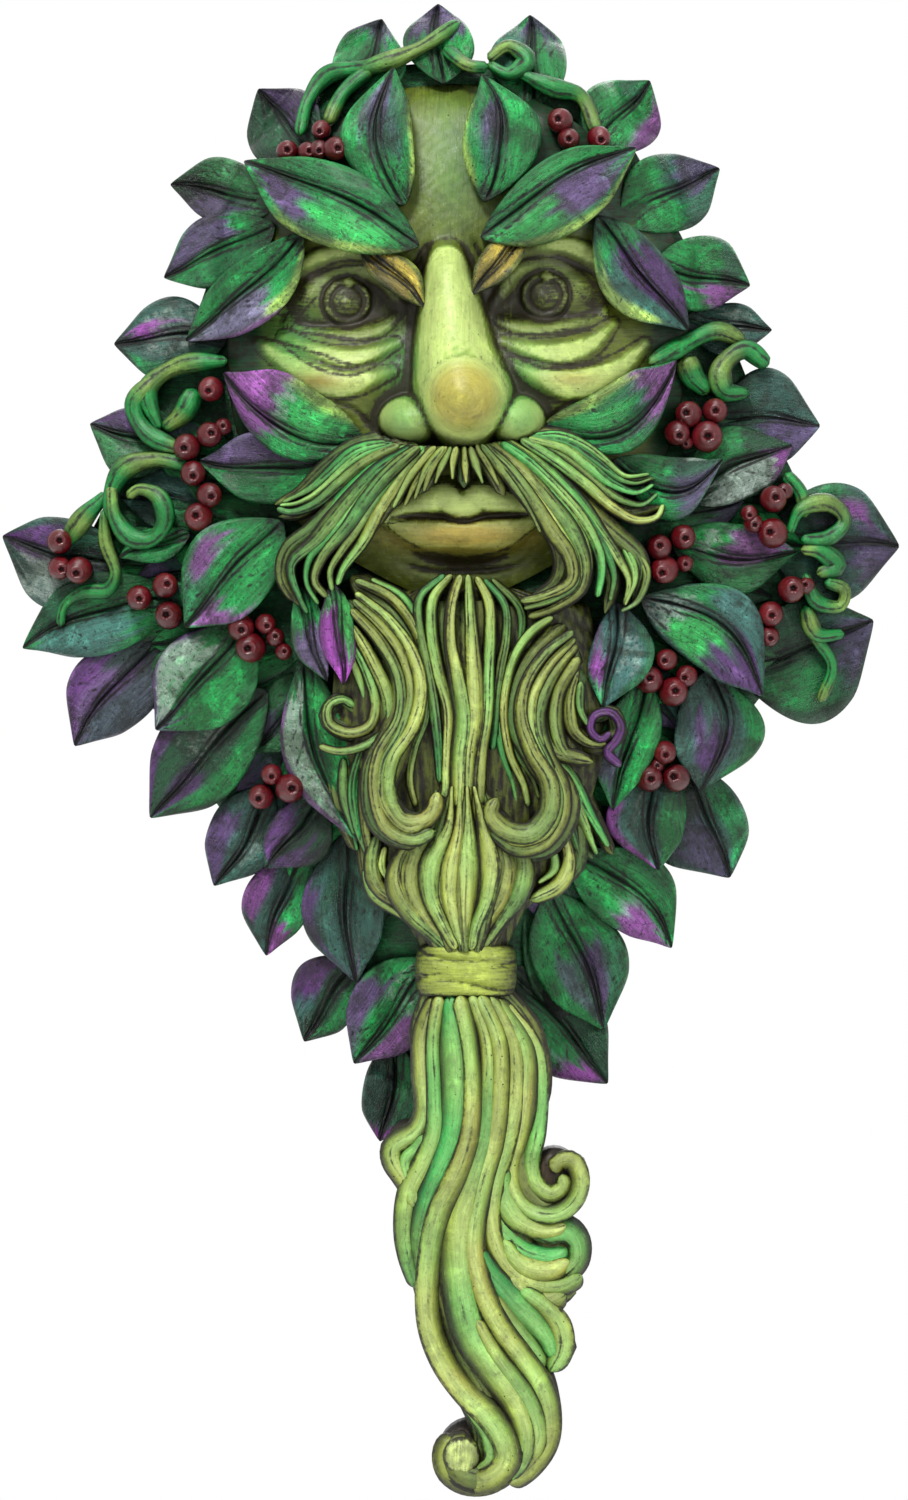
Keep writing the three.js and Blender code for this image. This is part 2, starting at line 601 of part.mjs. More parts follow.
// The front of a ball or an egg, and of a flat disc: share of the radius, share of the height
const ballRings = [[1, 0], [0.95, 0.5], [0.72, 0.88], [0.3, 1]];
const discRings = [[1, 0], [1, 0.9], [0.85, 1]];
const roundSides = 12;
const nostrilSides = 9;

function onFace(middle, shape, shares, top, sides) {
  const foot = faceHeight(middle.x, middle.z) - footInFace;
  return dome(middle, shape, shares.map(([reach, share]) => [reach, mix(foot, top, share)]), sides);
}

const nostrilSolid = (nostril) => onFace(nostril, nostril, ballRings, nostril.depth, nostrilSides);
const eyeballSolid = (eye) =>
  onFace(eye, eyeball, ballRings, faceHeight(eye.x, eye.z) + eyeball.over, roundSides);
const irisSolid = (eye) => onFace(eye, iris, discRings, faceHeight(eye.x, eye.z) + iris.over, roundSides);

// A berry: the front of a ball on a foot, each turned a little from the last. Its rings are a share of the
// radius across, and a number of radii over the leaves.
const berrySides = 6;
const berryOver = 7;
const berryRings = [[1.05, 0.6], [0.62, 1.3]];

function berrySolid([x, z, radius], index) {
  const ledge = ground(x, z);
  const ball = berryRings.map(([reach, radii]) => [reach, ledge + berryOver + radii * radius]);
  const rings = [[1, ledge - footInLeaf], ...ball];
  return dome({ x, z }, { radiusX: radius, radiusZ: radius }, rings, berrySides, index);
}

// The band bulges twice between its edges, with a crease along its middle
const bandLevels = [[0, 0], [0.25, 1], [0.5, 0.6], [0.75, 1], [1, 0]];

function bandSolid() {
  return loft(bandLevels.map(([down, share]) => {
    const z = mix(band.top, band.bottom, down);
    const half = band.halfWidth + share * band.bulge;
    const top = band.depth + share * band.bulge;
    const roof = [[-1, top - band.fall], [-0.75, top - band.fold], [-0.3, top], [0.3, top],
      [0.75, top - band.fold], [1, top - band.fall]];
    const ring = roof.map(([side, height]) => place(band.x + side * half, z, height));
    return [placeBehind(band.x - half, z), ...ring, placeBehind(band.x + half, z)];
  }));
}

// The mass behind the leaves, its edge just inside their notches, left side then right side from the top
const bedEdge = [
  [0, 172], [-12, 171], [-32, 164], [-44, 146], [-57, 129], [-63, 111], [-74, 90], [-81, 72], [-90, 55],
  [-97, 38], [-90, 22], [-73, 9], [-61, -10], [-50, -27], [-33, -43], [-26, -68], [-17, -78], [-12, -92],
  [4, -100], [20, -94], [22, -79], [36, -67], [41, -45], [52, -28], [67, -3], [73, 8], [95, 36], [83, 66],
  [74, 92], [67, 110], [57, 129], [46, 147], [30, 161], [14, 171],
];

const bedMiddle = { x: 2, z: 50 };
const bedRings = [1, 0.72, 0.4];
const bedBelowLeaves = 1.5;

function bed() {
  const points = [];
  const triangles = [];
  const count = bedEdge.length;
  const bedHeight = (x, z) => ground(x, z) - bedBelowLeaves;
  for (const share of bedRings) {
    for (const [edgeX, edgeZ] of bedEdge) {
      const x = mix(bedMiddle.x, edgeX, share);
      const z = mix(bedMiddle.z, edgeZ, share);
      points.push(place(x, z, bedHeight(x, z)));
    }
  }
  for (const [x, z] of bedEdge) {
    points.push(placeBehind(x, z));
  }
  points.push(place(bedMiddle.x, bedMiddle.z, bedHeight(bedMiddle.x, bedMiddle.z)));
  points.push(placeBehind(bedMiddle.x, bedMiddle.z));
  const inner = (bedRings.length - 1) * count;
  const back = inner + count;
  const summit = points.length - 2;
  for (let i = 0; i < count; i += 1) {
    const j = (i + 1) % count;
    for (let a = 0; a < inner; a += count) {
      triangles.push([a + i, a + j, a + count + j], [a + i, a + count + j, a + count + i]);
    }
    triangles.push([inner + i, inner + j, summit]);
    triangles.push([back + i, summit + 1, back + j]);
    triangles.push([i, back + j, j], [i, back + i, back + j]);
  }
  return solidFrom(points, triangles);
}

function boxSolid(left, right, near, far, bottom, top) {
  const box = new THREE.BoxGeometry(right - left, far - near, top - bottom);
  box.translate((left + right) / 2, (near + far) / 2, (bottom + top) / 2);
  return toManifold(box);
}

// One closed solid of the pieces, flat against the wall, with faces that differ little joined into one
function faired(pieces, tolerance) {
  const reach = 2 * plaqueHeight;
  const wall = boxSolid(-reach, reach, 0, reach, -reach, reach);
  return wasm.Manifold.union(pieces).subtract(wall).asOriginal().simplify(tolerance);
}

// The casting without the closed bubbles that the pieces may leave inside it
const largestShell = (solid) =>
  solid.decompose().reduce((most, shell) => (shell.volume() > most.volume() ? shell : most));

function casting() {
  const foliage = faired([bed(), faceMass(), ...leaves.map(leaf)], leafFairing);
  const head = faired([
    foliage,
    noseSolid(),
    ...nostrils.map(nostrilSolid),
    ...eyes.map(eyeballSolid),
    ...folds.map(fold),
    ...locks.map(lock),
    ...sheaf(chinColumn),
    ...sheaf(tail),
    bandSolid(),
  ], hairFairing);
  const whole = faired([
    head,
    ...eyes.map(irisSolid),
    ...tendrils.map(tendril),
    ...berries.map(berrySolid),
  ], detailFairing);
  const pocketX = hangerMiddle.x * unit;
  const pocketZ = hangerMiddle.z * unit;
  const pocket = boxSolid(
    pocketX - hangerWidth / 2,
    pocketX + hangerWidth / 2,
    -hangerDepth,
    hangerDepth,
    pocketZ - hangerHeight / 2,
    pocketZ + hangerHeight / 2,
  );
  return largestShell(whole.subtract(pocket));
}

// Where the surface meets itself at a point, the vertices are drawn a hair apart towards their neighbours
const nearlyTouching = 0.002;
const hairGap = 0.04;

function partTouchingVertices(positions, indices) {
  const seen = new Map();
  const touching = new Set();
  const cell = (i, axis) => Math.round(positions[3 * i + axis] / nearlyTouching);
  const steps = [-1, 0, 1];
  for (let i = 0; i < positions.length / 3; i += 1) {
    for (const a of steps) {
      for (const b of steps) {
        for (const c of steps) {
          const other = seen.get(`${cell(i, 0) + a},${cell(i, 1) + b},${cell(i, 2) + c}`);
          if (other !== undefined) {
            touching.add(i).add(other);
          }
        }
      }
    }
    seen.set(`${cell(i, 0)},${cell(i, 1)},${cell(i, 2)}`, i);
  }
  const sums = new Map([...touching].map((i) => [i, [0, 0, 0, 0]]));
  for (let t = 0; t < indices.length; t += 3) {
    const corners = [indices[t], indices[t + 1], indices[t + 2]];
    for (const i of corners.filter((corner) => touching.has(corner))) {
      const sum = sums.get(i);
      for (const j of corners.filter((corner) => corner !== i)) {
        sum[3] += 1;
        for (let axis = 0; axis < 3; axis += 1) {
          sum[axis] += positions[3 * j + axis];
        }
      }
    }
  }
  for (const [i, sum] of sums) {
    const offset = [0, 1, 2].map((axis) => sum[axis] / sum[3] - positions[3 * i + axis]);
    const length = Math.hypot(...offset) || 1;
    for (let axis = 0; axis < 3; axis += 1) {
      positions[3 * i + axis] += (offset[axis] / length) * hairGap * (1 + 0.3 * (i % 5));
    }
  }
}

function toMesh(solid, name, material) {
  const { vertProperties, triVerts } = solid.getMesh();
  partTouchingVertices(vertProperties, triVerts);
  const geometry = new THREE.BufferGeometry();
  geometry.setAttribute("position", new THREE.BufferAttribute(vertProperties, 3));
  geometry.setIndex(new THREE.BufferAttribute(triVerts, 1));
  geometry.computeVertexNormals();
  const mesh = new THREE.Mesh(geometry, material);
  mesh.name = name;
  return mesh;
}

const paintedResin = new THREE.MeshStandardMaterial({ color: 0x3f7a45, roughness: 0.5, metalness: 0 });

const plaque = new THREE.Group();
plaque.add(toMesh(casting(), "green_man_mask", paintedResin));

export default plaque;
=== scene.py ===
"""Green man wall plaque: carved leaves, face, hair, berries and tendrils of painted cast resin."""

import math

import bmesh
import bpy
import numpy as np
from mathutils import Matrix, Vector, geometry


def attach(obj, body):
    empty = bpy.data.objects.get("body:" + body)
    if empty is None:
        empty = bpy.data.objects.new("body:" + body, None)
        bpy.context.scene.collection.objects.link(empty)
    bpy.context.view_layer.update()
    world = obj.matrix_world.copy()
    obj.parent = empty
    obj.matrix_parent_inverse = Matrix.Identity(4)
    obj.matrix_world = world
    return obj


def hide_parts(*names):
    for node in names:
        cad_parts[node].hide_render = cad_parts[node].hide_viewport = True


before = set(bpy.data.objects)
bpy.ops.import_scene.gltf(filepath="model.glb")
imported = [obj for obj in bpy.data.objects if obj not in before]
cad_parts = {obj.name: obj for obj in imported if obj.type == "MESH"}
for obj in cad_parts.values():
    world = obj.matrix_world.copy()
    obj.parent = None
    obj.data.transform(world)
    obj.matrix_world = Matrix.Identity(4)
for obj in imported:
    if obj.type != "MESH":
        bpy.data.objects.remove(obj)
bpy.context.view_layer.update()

# Drawing sheet, as in the solid: millimetres, x right, z up, and heights over a rim 5 mm thick
MM = 0.001
RIM = 5.0
# Middle of the ring of leaves, from which the mass behind them and the low leaves fan out
MIDDLE = np.array([2.0, 50.0])
chance = np.random.default_rng(7)

# How much of a seen colour is the paint's own, the rest being the light on it
OWN = 0.43


def rgb(red, green, blue):
    """A colour as seen on a screen, in eight bits, as the paint's linear one."""
    share = np.array([red, green, blue]) / 255
    return OWN * np.where(share <= 0.04045, share / 12.92, ((share + 0.055) / 1.055) ** 2.4)


FOREST = rgb(18, 76, 44)
EMERALD = rgb(14, 148, 68)
BRIGHT = rgb(52, 192, 92)
MOSS = rgb(42, 114, 62)
SLATE = rgb(46, 94, 82)
LILAC = rgb(122, 92, 146)
VIOLET = rgb(102, 46, 126)
MAGENTA = rgb(152, 66, 164)
SILVER_GLINT = rgb(180, 198, 186)
BLUE = rgb(72, 128, 122)
BLACK = rgb(10, 14, 12)
LIME = rgb(178, 216, 98)
PALE = rgb(224, 244, 146)
OLIVE = rgb(110, 124, 36)
OCHRE = rgb(208, 172, 70)
BROWN = rgb(50, 36, 14)
STRAW = rgb(188, 206, 84)
MINT = rgb(74, 202, 94)
RED = rgb(104, 12, 22)
FRESH = rgb(134, 236, 128)
DUSK = rgb(44, 50, 38)

# Leaves: base x, z, tip x, z, half widths left and right of the growing direction, bend of the midrib, tier,
# ground colour, then strokes of [colour, from and to along, from and to across, strength], left being plus
LEAVES = [
    (-43, 136, -70.5, 141.5, 8, 9, -1, 1, MOSS,
     [(SILVER_GLINT, .2, .6, -1, .4, .4), (VIOLET, .4, .9, .1, 1, .7),
      (BLACK, .72, 1.1, -.6, 1, .8)]),
    (-33, 148, -48.5, 165.5, 11.5, 9, 0, 0, FOREST,
     [(VIOLET, .4, 1, -1, 0, .6), (SILVER_GLINT, .4, .8, 0, 1, .4),
      (BLACK, .84, 1.1, -1, 1, .8)]),
    (-26, 162, -17.5, 183, 9.5, 9, 0, 0, EMERALD,
     [(VIOLET, .7, 1.1, -1, 1, .7), (FOREST, 0, .4, -1, 1, .6)]),
    (-5, 170, -8.5, 181.5, 4.5, 4, 0, 0, FOREST,
     [(VIOLET, .5, 1.1, -1, 1, .8)]),
    (-2, 166, -3.5, 186.7, 8, 9.5, 0, 1, EMERALD,
     [(VIOLET, .66, 1.1, -1, 1, .8), (BRIGHT, .2, .6, -1, 0, .4)]),
    (20, 160, 19.5, 184, 10.5, 9, 0, 0, EMERALD,
     [(SLATE, .4, .9, 0, 1, .8), (VIOLET, .7, 1.1, -1, .4, .7)]),
    (34, 150, 49.5, 167.5, 10, 10.5, 0, 1, EMERALD,
     [(MAGENTA, .4, 1, -1.1, -.6, .9), (SLATE, .7, 1, 0, 1, .6)]),
    (42, 131, 67, 145.5, 10.5, 10, 0, 1, EMERALD,
     [(SLATE, .5, 1, -1, 1, .8), (VIOLET, .7, 1, -.4, 1, .6)]),
    (-44, 131, -72, 118, 9, 9, 0, 2, EMERALD,
     [(VIOLET, .3, .95, -1, -.1, .8), (FOREST, 0, .8, .2, 1, .7),
      (BLACK, .9, 1.1, -1, 1, .9)]),
    (-56, 103, -84.5, 101.5, 11, 9.5, 0, 1, SLATE,
     [(SILVER_GLINT, .2, .7, -.9, .4, .6), (MAGENTA, .55, .9, -.6, -.05, .9),
      (EMERALD, .1, .9, .5, 1.1, .7), (BLACK, .92, 1.1, -1, 1, .9)]),
    (-66, 76, -90.5, 81.5, 10.5, 8, 0, 0, MOSS,
     [(VIOLET, .4, 1, -1, -.1, .8), (SILVER_GLINT, .3, .8, .1, .9, .5)]),
    (-82, 46, -112.5, 53.5, 13.5, 9.5, 0, 1, SLATE,
     [(SILVER_GLINT, .1, .8, .1, 1, .8), (VIOLET, .62, 1.1, -.7, .3, .9),
      (FOREST, 0, .5, -1, -.1, .7)]),
    (-68, 38, -107.5, 25.5, 11, 9.5, -2.5, 1, EMERALD,
     [(BLUE, .4, 1, .05, 1, .9), (SLATE, .5, 1, -1, 0, .6)]),
    (-72, 28, -94.5, 1, 11, 10.5, -2, 0, LILAC,
     [(VIOLET, .3, 1, -1.1, -.5, .8), (FOREST, 0, .3, -1, 1, .8),
      (SLATE, .3, 1, .2, 1, .7)]),
    (-51, 32, -74, 5, 13, 11.5, 0, 3, EMERALD,
     [(SILVER_GLINT, .2, .9, -.95, -.1, .85), (VIOLET, .2, 1, -1.1, -.85, .9),
      (VIOLET, .82, 1.1, -1, 1, .8)]),
    (-42, 57, -66.5, 30.5, 11, 12, 0, 4, EMERALD,
     [(MAGENTA, .38, .62, -.95, -.4, .85), (MAGENTA, .62, .97, 0, 1, .85),
      (BRIGHT, .1, .4, -.5, .5, .4), (SLATE, .6, 1, -1, -.2, .5)]),
    (-46, 15, -75.5, -17, 11, 13, 0, 2, FOREST,
     [(VIOLET, .2, 1, -1.1, -.75, .9), (VIOLET, .58, .95, -.1, .6, .8),
      (EMERALD, .1, .9, .4, 1, .9), (SILVER_GLINT, .2, .6, -.7, 0, .6)]),
    (-45, -9, -59.5, -34, 7.5, 10.5, 0, 1, SLATE,
     [(VIOLET, .4, 1, -1, -.3, .7), (SILVER_GLINT, .3, .8, 0, .8, .6)]),
    (-32, -11, -46.5, -29.5, 9.5, 7, 0, 2, FOREST,
     [(VIOLET, .4, .95, -.9, -.2, .8), (VIOLET, .6, 1, .2, .9, .7)]),
    (-37, -24, -46.5, -51.5, 8, 9.5, 0, 0, SLATE,
     [(MAGENTA, .25, .8, -1.1, -.55, .8), (MAGENTA, .75, 1.1, .1, 1, .9),
      (EMERALD, .2, .75, .2, 1, .9)]),
    (-26, -20, -24, -58, 10, 11, -2, 1, SLATE,
     [(VIOLET, .3, .75, -1.1, -.7, .8), (MAGENTA, .93, 1.1, -1, 1, .9),
      (FOREST, 0, .5, -.6, 1, .6), (SILVER_GLINT, .75, .93, .1, .6, .5)]),
    (-37, 23, -23, -23, 9, 8, -4, 4, EMERALD,
     [(SILVER_GLINT, .08, .8, -.9, -.05, .9), (MAGENTA, .1, .9, -1.1, -.86, .8),
      (BRIGHT, .1, .7, .3, 1, .8), (MAGENTA, .7, .85, -1, -.3, .7)]),
    (-22, -52, -37, -73, 7.5, 10.5, 0, 0, FOREST,
     [(VIOLET, .15, .7, -1.1, -.3, .9), (EMERALD, .3, .9, .3, 1, .7),
      (BLUE, .6, .9, -.9, -.2, .6), (BLACK, .93, 1.1, -1, 1, .8)]),
    (-5, -52, -24.5, -78.5, 9, 12, 0, 1, EMERALD,
     [(MAGENTA, .4, .95, .2, 1.1, .85), (VIOLET, .35, .9, -1.1, -.35, .85),
      (SILVER_GLINT, .1, .45, -.5, .6, .6), (BLACK, .94, 1.1, -1, 1, .9)]),
    (-14, -73, -18, -98, 8, 8, 0, 0, FOREST,
     [(EMERALD, .1, .6, .1, 1, .6), (SLATE, .3, .8, -1, 0, .6),
      (MAGENTA, .86, 1.1, -1, 1, .9)]),
    (-65, 54, -83, 48, 5, 4, 0, 2, EMERALD,
     [(BRIGHT, .3, .9, -1, 0, .6)]),
    (-38, 41, -31, 17, 4, 5, 0, 5, MOSS,
     [(LILAC, .4, .95, -.8, .9, .8), (EMERALD, 0, .35, -1, 1, .6)]),
    (-30, 42, -27, 16, 4, 5, 0, 6, MAGENTA,
     [(MINT, 0, .62, .1, 1.1, 1), (MINT, 0, .22, -1, 1, .9)]),
    (50, 121, 74.5, 116, 11, 8.5, 0, 2, EMERALD,
     [(MAGENTA, .5, 1, -1.1, -.15, .9), (SLATE, .6, 1, 0, 1, .7)]),
    (58, 108, 80, 105, 6, 7.5, 0, 0, SLATE,
     [(SILVER_GLINT, .3, .9, -.5, .9, .6)]),
    (64, 82, 92, 81, 12.5, 12, 0, 0, SLATE,
     [(VIOLET, .5, 1, -1, 0, .6), (FOREST, 0, .5, -1, 1, .7)]),
    (58, 62, 85, 76, 10, 9, 1.5, 2, FOREST,
     [(SILVER_GLINT, .2, .85, -.95, -.1, .8), (MAGENTA, .78, 1.1, -1, .2, .9),
      (EMERALD, .1, .6, .2, 1, .6)]),
    (40, 72, 67.5, 72.5, 9, 7, -7, 4, EMERALD,
     [(SLATE, .45, 1, -.7, 1, .8), (VIOLET, .6, 1, -.9, .5, .6),
      (SILVER_GLINT, .2, .9, .88, 1.1, .8)]),
    (54, 52, 86, 49.5, 9, 9, -3, 1, EMERALD,
     [(SILVER_GLINT, .15, .42, -.1, .8, .8), (MAGENTA, .5, .85, -.1, .9, .85),
      (MOSS, .2, .9, -1, -.1, .8)]),
    (78, 52, 112, 51, 15, 15.5, 0, 0, SLATE,
     [(MAGENTA, .4, .7, .3, .75, .8), (VIOLET, .62, 1.1, -1, .4, .6),
      (EMERALD, .2, .6, .7, 1.1, .7), (FOREST, 0, .45, -1, 1, .7)]),
    (70, 20, 105.5, 32.5, 12, 19, 0, 0, FOREST,
     [(SLATE, .6, 1.1, -1, .6, .7), (VIOLET, .8, 1.1, -.9, .5, .5),
      (EMERALD, .2, .7, -.9, -.2, .6)]),
    (47, 38, 77.5, 13.5, 9.5, 12, 7, 4, SLATE,
     [(SILVER_GLINT, 0, .28, -1, .6, .7), (BRIGHT, .22, .66, -.9, -.05, .95),
      (EMERALD, .1, .4, .2, 1, .8), (BLUE, .4, .8, .3, 1, .7),
      (VIOLET, .68, 1.1, -1, .3, .8)]),
    (64, 20, 62, -10, 9.5, 13, 4, 2, SLATE,
     [(VIOLET, .45, .8, -.6, .1, .8), (EMERALD, .1, .9, .6, 1.1, .9)]),
    (49, 18, 40, -15, 7, 8, 0, 4, EMERALD,
     [(BRIGHT, .1, .8, .5, 1.1, .3), (VIOLET, .5, .9, -.8, -.1, .7)]),
    (51, -3, 51.5, -30, 9.5, 10.5, -1, 3, SLATE,
     [(MAGENTA, .3, 1, -1.1, -.72, .9), (EMERALD, .2, .9, .35, 1.1, .9),
      (SILVER_GLINT, .2, .7, -.6, .1, .5)]),
    (58, -4, 69.5, -32, 9.5, 16, 0, 0, SLATE,
     [(VIOLET, .5, 1.1, -.9, 0, .5), (FOREST, 0, .5, -1, 1, .7),
      (EMERALD, .3, .9, .3, 1, .6)]),
    (29, -26, 55, -49.5, 9.5, 11, 4.5, 2, EMERALD,
     [(MAGENTA, .5, 1, -1.1, -.15, .9), (BRIGHT, .2, .6, -.6, 0, .5),
      (FOREST, .3, .8, .3, 1, .6)]),
    (24, -35, 38, -70, 11, 12.5, 2.5, 1, EMERALD,
     [(VIOLET, .4, .85, -.1, .55, .85), (SLATE, .5, 1, .4, 1, .6),
      (VIOLET, .5, .9, -.5, -.15, .6), (SILVER_GLINT, .1, .4, -.6, .1, .4)]),
    (13, -54, 39, -83.5, 11, 12, 0, 0, FOREST,
     [(EMERALD, .2, .7, -.8, 0, .6), (MAGENTA, .7, 1, -1.1, -.1, .85)]),
    (41, 37, 37.5, 10.5, 10, 6, 0, 5, BLUE,
     [(MAGENTA, .4, .85, -.9, -.25, .9), (SILVER_GLINT, .2, .7, .1, .7, .6),
      (EMERALD, .2, .9, .7, 1.1, .7), (BRIGHT, .8, 1.1, -1, .3, .6)]),
    (-37, 129, -66.5, 102, 9.5, 7, 2.5, 3, EMERALD,
     [(LILAC, .4, .95, .15, .85, .8), (MAGENTA, .4, .9, .85, 1.1, .8),
      (LIME, .02, .45, .6, 1.1, .8), (BLACK, .9, 1.1, -1, 1, .7)]),
    (36, 133, 59, 104.5, 7.5, 10.5, 0, 3, SLATE,
     [(VIOLET, .35, .85, -.2, .9, .8), (LIME, .1, .7, -1.1, -.75, .8),
      (EMERALD, 0, .3, -1, 1, .8)]),
    (-8, 125, -52, 147, 13, 7.5, -3, 5, EMERALD,
     [(VIOLET, .5, .95, .1, .8, .85), (LIME, .05, .8, .88, 1.1, .9),
      (FOREST, .3, .9, -.9, -.2, .4), (BRIGHT, .1, .5, .2, .8, .9)]),
    (7, 127, 46, 150, 6, 13, 3, 5, EMERALD,
     [(VIOLET, .42, .92, -.75, 0, .85), (LIME, .05, .8, -1.1, -.88, .9),
      (BRIGHT, .1, .45, -.8, -.2, .9), (BRIGHT, .3, .8, .2, .9, .4)]),
    (-12, 135, -14.5, 170, 8.5, 9.5, 6, 4, EMERALD,
     [(SLATE, .4, .9, -.6, .3, .85), (LIME, .05, .7, -1.1, -.82, .9),
      (VIOLET, .6, .95, -.4, .6, .6)]),
    (8, 136, 7.5, 168, 9.5, 10, -6, 4, EMERALD,
     [(SLATE, .35, .85, -.2, .6, .85), (LIME, .05, .7, .82, 1.1, .9),
      (VIOLET, .5, .85, -.1, .5, .6)]),
    (-21.5, 76.5, -57, 94, 6, 13, 6.5, 3, EMERALD,
     [(MAGENTA, .62, 1.1, -1, 1, .9), (SILVER_GLINT, .45, .66, -.9, .3, .7),
      (BRIGHT, .1, .45, -.9, .3, .9), (LIME, .02, .7, -1.1, -.8, .9)]),
    (-28, 73, -63, 72, 9, 9.5, 4, 2, EMERALD,
     [(VIOLET, .2, 1, -.95, -.05, .85), (LILAC, .1, .9, -1.1, -.92, .9),
      (FOREST, .5, 1, .2, 1, .5)]),
    (22, 79.5, 56, 97, 12, 5, -10, 3, EMERALD,
     [(MAGENTA, .6, 1.1, -1, 1, .85), (SLATE, .48, .66, -1, 1, .6),
      (BRIGHT, .12, .45, 0, .9, .9), (LIME, .02, .7, .8, 1.1, .9)]),
    (-23, 125.5, -6.5, 109.5, 5, 4.2, 0, 3.4, OLIVE,
     [(OCHRE, .1, .9, -.8, .8, .5), (BROWN, 0, .3, -1, 1, .7)]),
    (20.5, 130.5, 5, 112.5, 4.2, 5, 0, 3.4, OLIVE,
     [(OCHRE, .1, .9, -.8, .8, .5), (BROWN, 0, .3, -1, 1, .7)]),
]
# Leaves numbered from here on grow on the face or are low ones, and their feet end inside the casting
FACE_LEAVES = 45

# Berries: x, z, radius
BERRIES = [
    (-41, 149, 2.7), (-36, 149, 2.3), (-32.5, 154.5, 2.3), (-33, 149.5, 2.3), (-29, 149.5, 2.9),
    (27, 156.5, 3), (29, 152, 2.6), (36.5, 152.5, 2.8),
    (-60, 90, 3), (-57, 80.5, 2), (-60.5, 78.5, 3), (-66, 75.5, 3.2), (-64.5, 69, 3), (-60.5, 63.5, 3),
    (-63, 58, 3.4), (-98, 52, 3), (-98, 45.5, 2.8), (-93, 45, 3.2),
    (-78, 38, 3), (-71.5, 41, 3), (-70.5, 33.5, 3.3),
    (-52.5, 30.5, 3.2), (-46.5, 31.5, 2.4), (-50, 25.5, 3.6), (-44, 28, 2.2), (-42, 24.5, 2),
    (-47.5, -11.5, 3), (-45, -6, 2.5), (-40.5, -9.5, 3.5),
    (59, 83.5, 3.2), (65.5, 84.5, 3), (56, 79, 3), (58.5, 76.5, 1.5), (63.5, 78, 3.8),
    (80, 62.5, 3.2), (83, 64.5, 2), (74, 59, 2), (75, 56.5, 2.3), (80, 54, 3.6),
    (51.5, 50.5, 3), (57.5, 53, 3), (53, 45, 3.3), (58, 46.5, 2),
    (84.5, 40, 3.2), (88.5, 41, 2), (79.5, 34, 3), (79, 28.5, 2.5),
    (53.5, 22.5, 2.6), (49, 17.5, 3.3), (55, 14.5, 3.5), (58.5, 18.5, 2.6),
    (53, -0.5, 2.8), (49, -7, 3.3), (56, -7, 3.3), (51, -4, 1.8),
]

# Tendrils: radius, height over the leaves, then the path
TENDRILS = [
    (1.8, 9, [2, 182, -8, 175, -20, 170.5, -31, 168.5, -36, 162, -38, 153]),
    (1.7, 8, [-20, 170, -27, 164, -31, 156]),
    (1.6, 9, [-2, 175, 4, 170.5, 9, 170]),
    (1.7, 9, [9, 172, 14, 175.5, 18.5, 172, 14, 168.5, 9, 171]),
    (1.8, 8, [16, 169, 25, 165, 32, 163, 36, 154]),
    (2, 8, [-56, 97, -68, 96, -76, 90, -73, 80]),
    (2, 9, [-74, 93, -79.5, 86, -76, 79, -68, 75]),
    (2.2, 8, [-64, 90, -67, 84, -72, 80]),
    (2, 8.5, [-66, 71, -74, 72.5, -82, 70, -85.5, 62, -84, 57]),
    (1.9, 9.5, [-85, 66, -84, 58, -80, 53, -75, 52.5, -71.5, 57, -73, 63, -78, 65, -81, 63]),
    (2, 8, [-86, 64, -92, 58, -97, 51]),
    (1.4, 8, [-87, 60, -86.5, 52, -84, 44, -86, 40, -92, 39.5, -97, 36, -98, 31]),
    (2, 8, [49, 96, 58, 101, 66, 104.5, 73, 102]),
    (2.2, 9, [79, 96, 73, 100, 67, 95, 68, 89.5, 74, 89]),
    (2.6, 8, [58, 98, 60, 93, 64, 89]),
    (1.7, 8, [83, 69, 87, 64, 88, 58]),
    (1.7, 10, [84, 54, 87, 60, 94, 61.5, 98, 57.5, 94, 53, 87, 52.5]),
    (1.9, 10, [87, 50, 92, 49.5, 96, 46, 91, 44]),
    (1.5, 10, [88, 44, 91, 37, 97, 36, 98, 40, 93, 42]),
    (1.7, 9, [88, 36, 91, 29, 98, 29]),
    (1.3, 8, [90, 29, 95, 21, 92, 12]),
]

# Masses of hair under the strands: width at root and tip, height at root and tip, then the path
MOUSTACHE_LOCKS = [
    (6, 2, 45, 32, [-17, 77, -25, 74.5, -32, 69.5, -38, 64, -44, 61]),
    (7, 2, 46, 32, [-14, 76, -22, 71.5, -30, 65.5, -37, 59, -43, 58]),
    (8, 3, 48, 33, [-11, 76, -19, 69, -27, 61, -34, 54.5, -40.5, 49.5, -42, 43, -38, 36]),
    (8, 3, 49, 34, [-8.5, 75.5, -16, 68, -23, 60, -29.5, 52, -35, 46, -34, 38]),
    (7, 2.5, 49, 36, [-6, 75, -13, 66.5, -19, 58, -25, 50, -29, 41]),
    (6, 2, 45, 32, [20, 77.5, 28, 77, 36, 71.5, 43, 67, 50.5, 67.5]),
    (8, 2, 47, 32, [17, 76.5, 26, 72, 35, 64.5, 43, 59, 52.5, 60.5]),
    (8, 3, 48, 33, [14, 76, 23, 69, 32, 61, 40, 54, 47, 47, 45, 36]),
    (8, 3, 48, 35, [12, 76, 21, 68, 29, 60, 37, 50, 40, 42, 38, 34]),
    (8, 3, 49, 37, [10, 75.5, 19, 67, 26, 59, 32, 49, 32, 41, 22, 33]),
    (7, 3, 49, 39, [8, 75, 16, 67, 22, 59, 27, 49, 26, 42, 19, 37]),
    (5, 3, 51, 47, [-5, 75, -11, 67, -15, 60]),
    (5, 3, 52, 48, [-2, 75, -5, 69, -8, 63.5]),
    (5, 3, 52, 49, [3, 75, 3, 70, 3, 65]),
    (5, 3, 52, 48, [6, 75, 10, 69, 13, 63]),
]
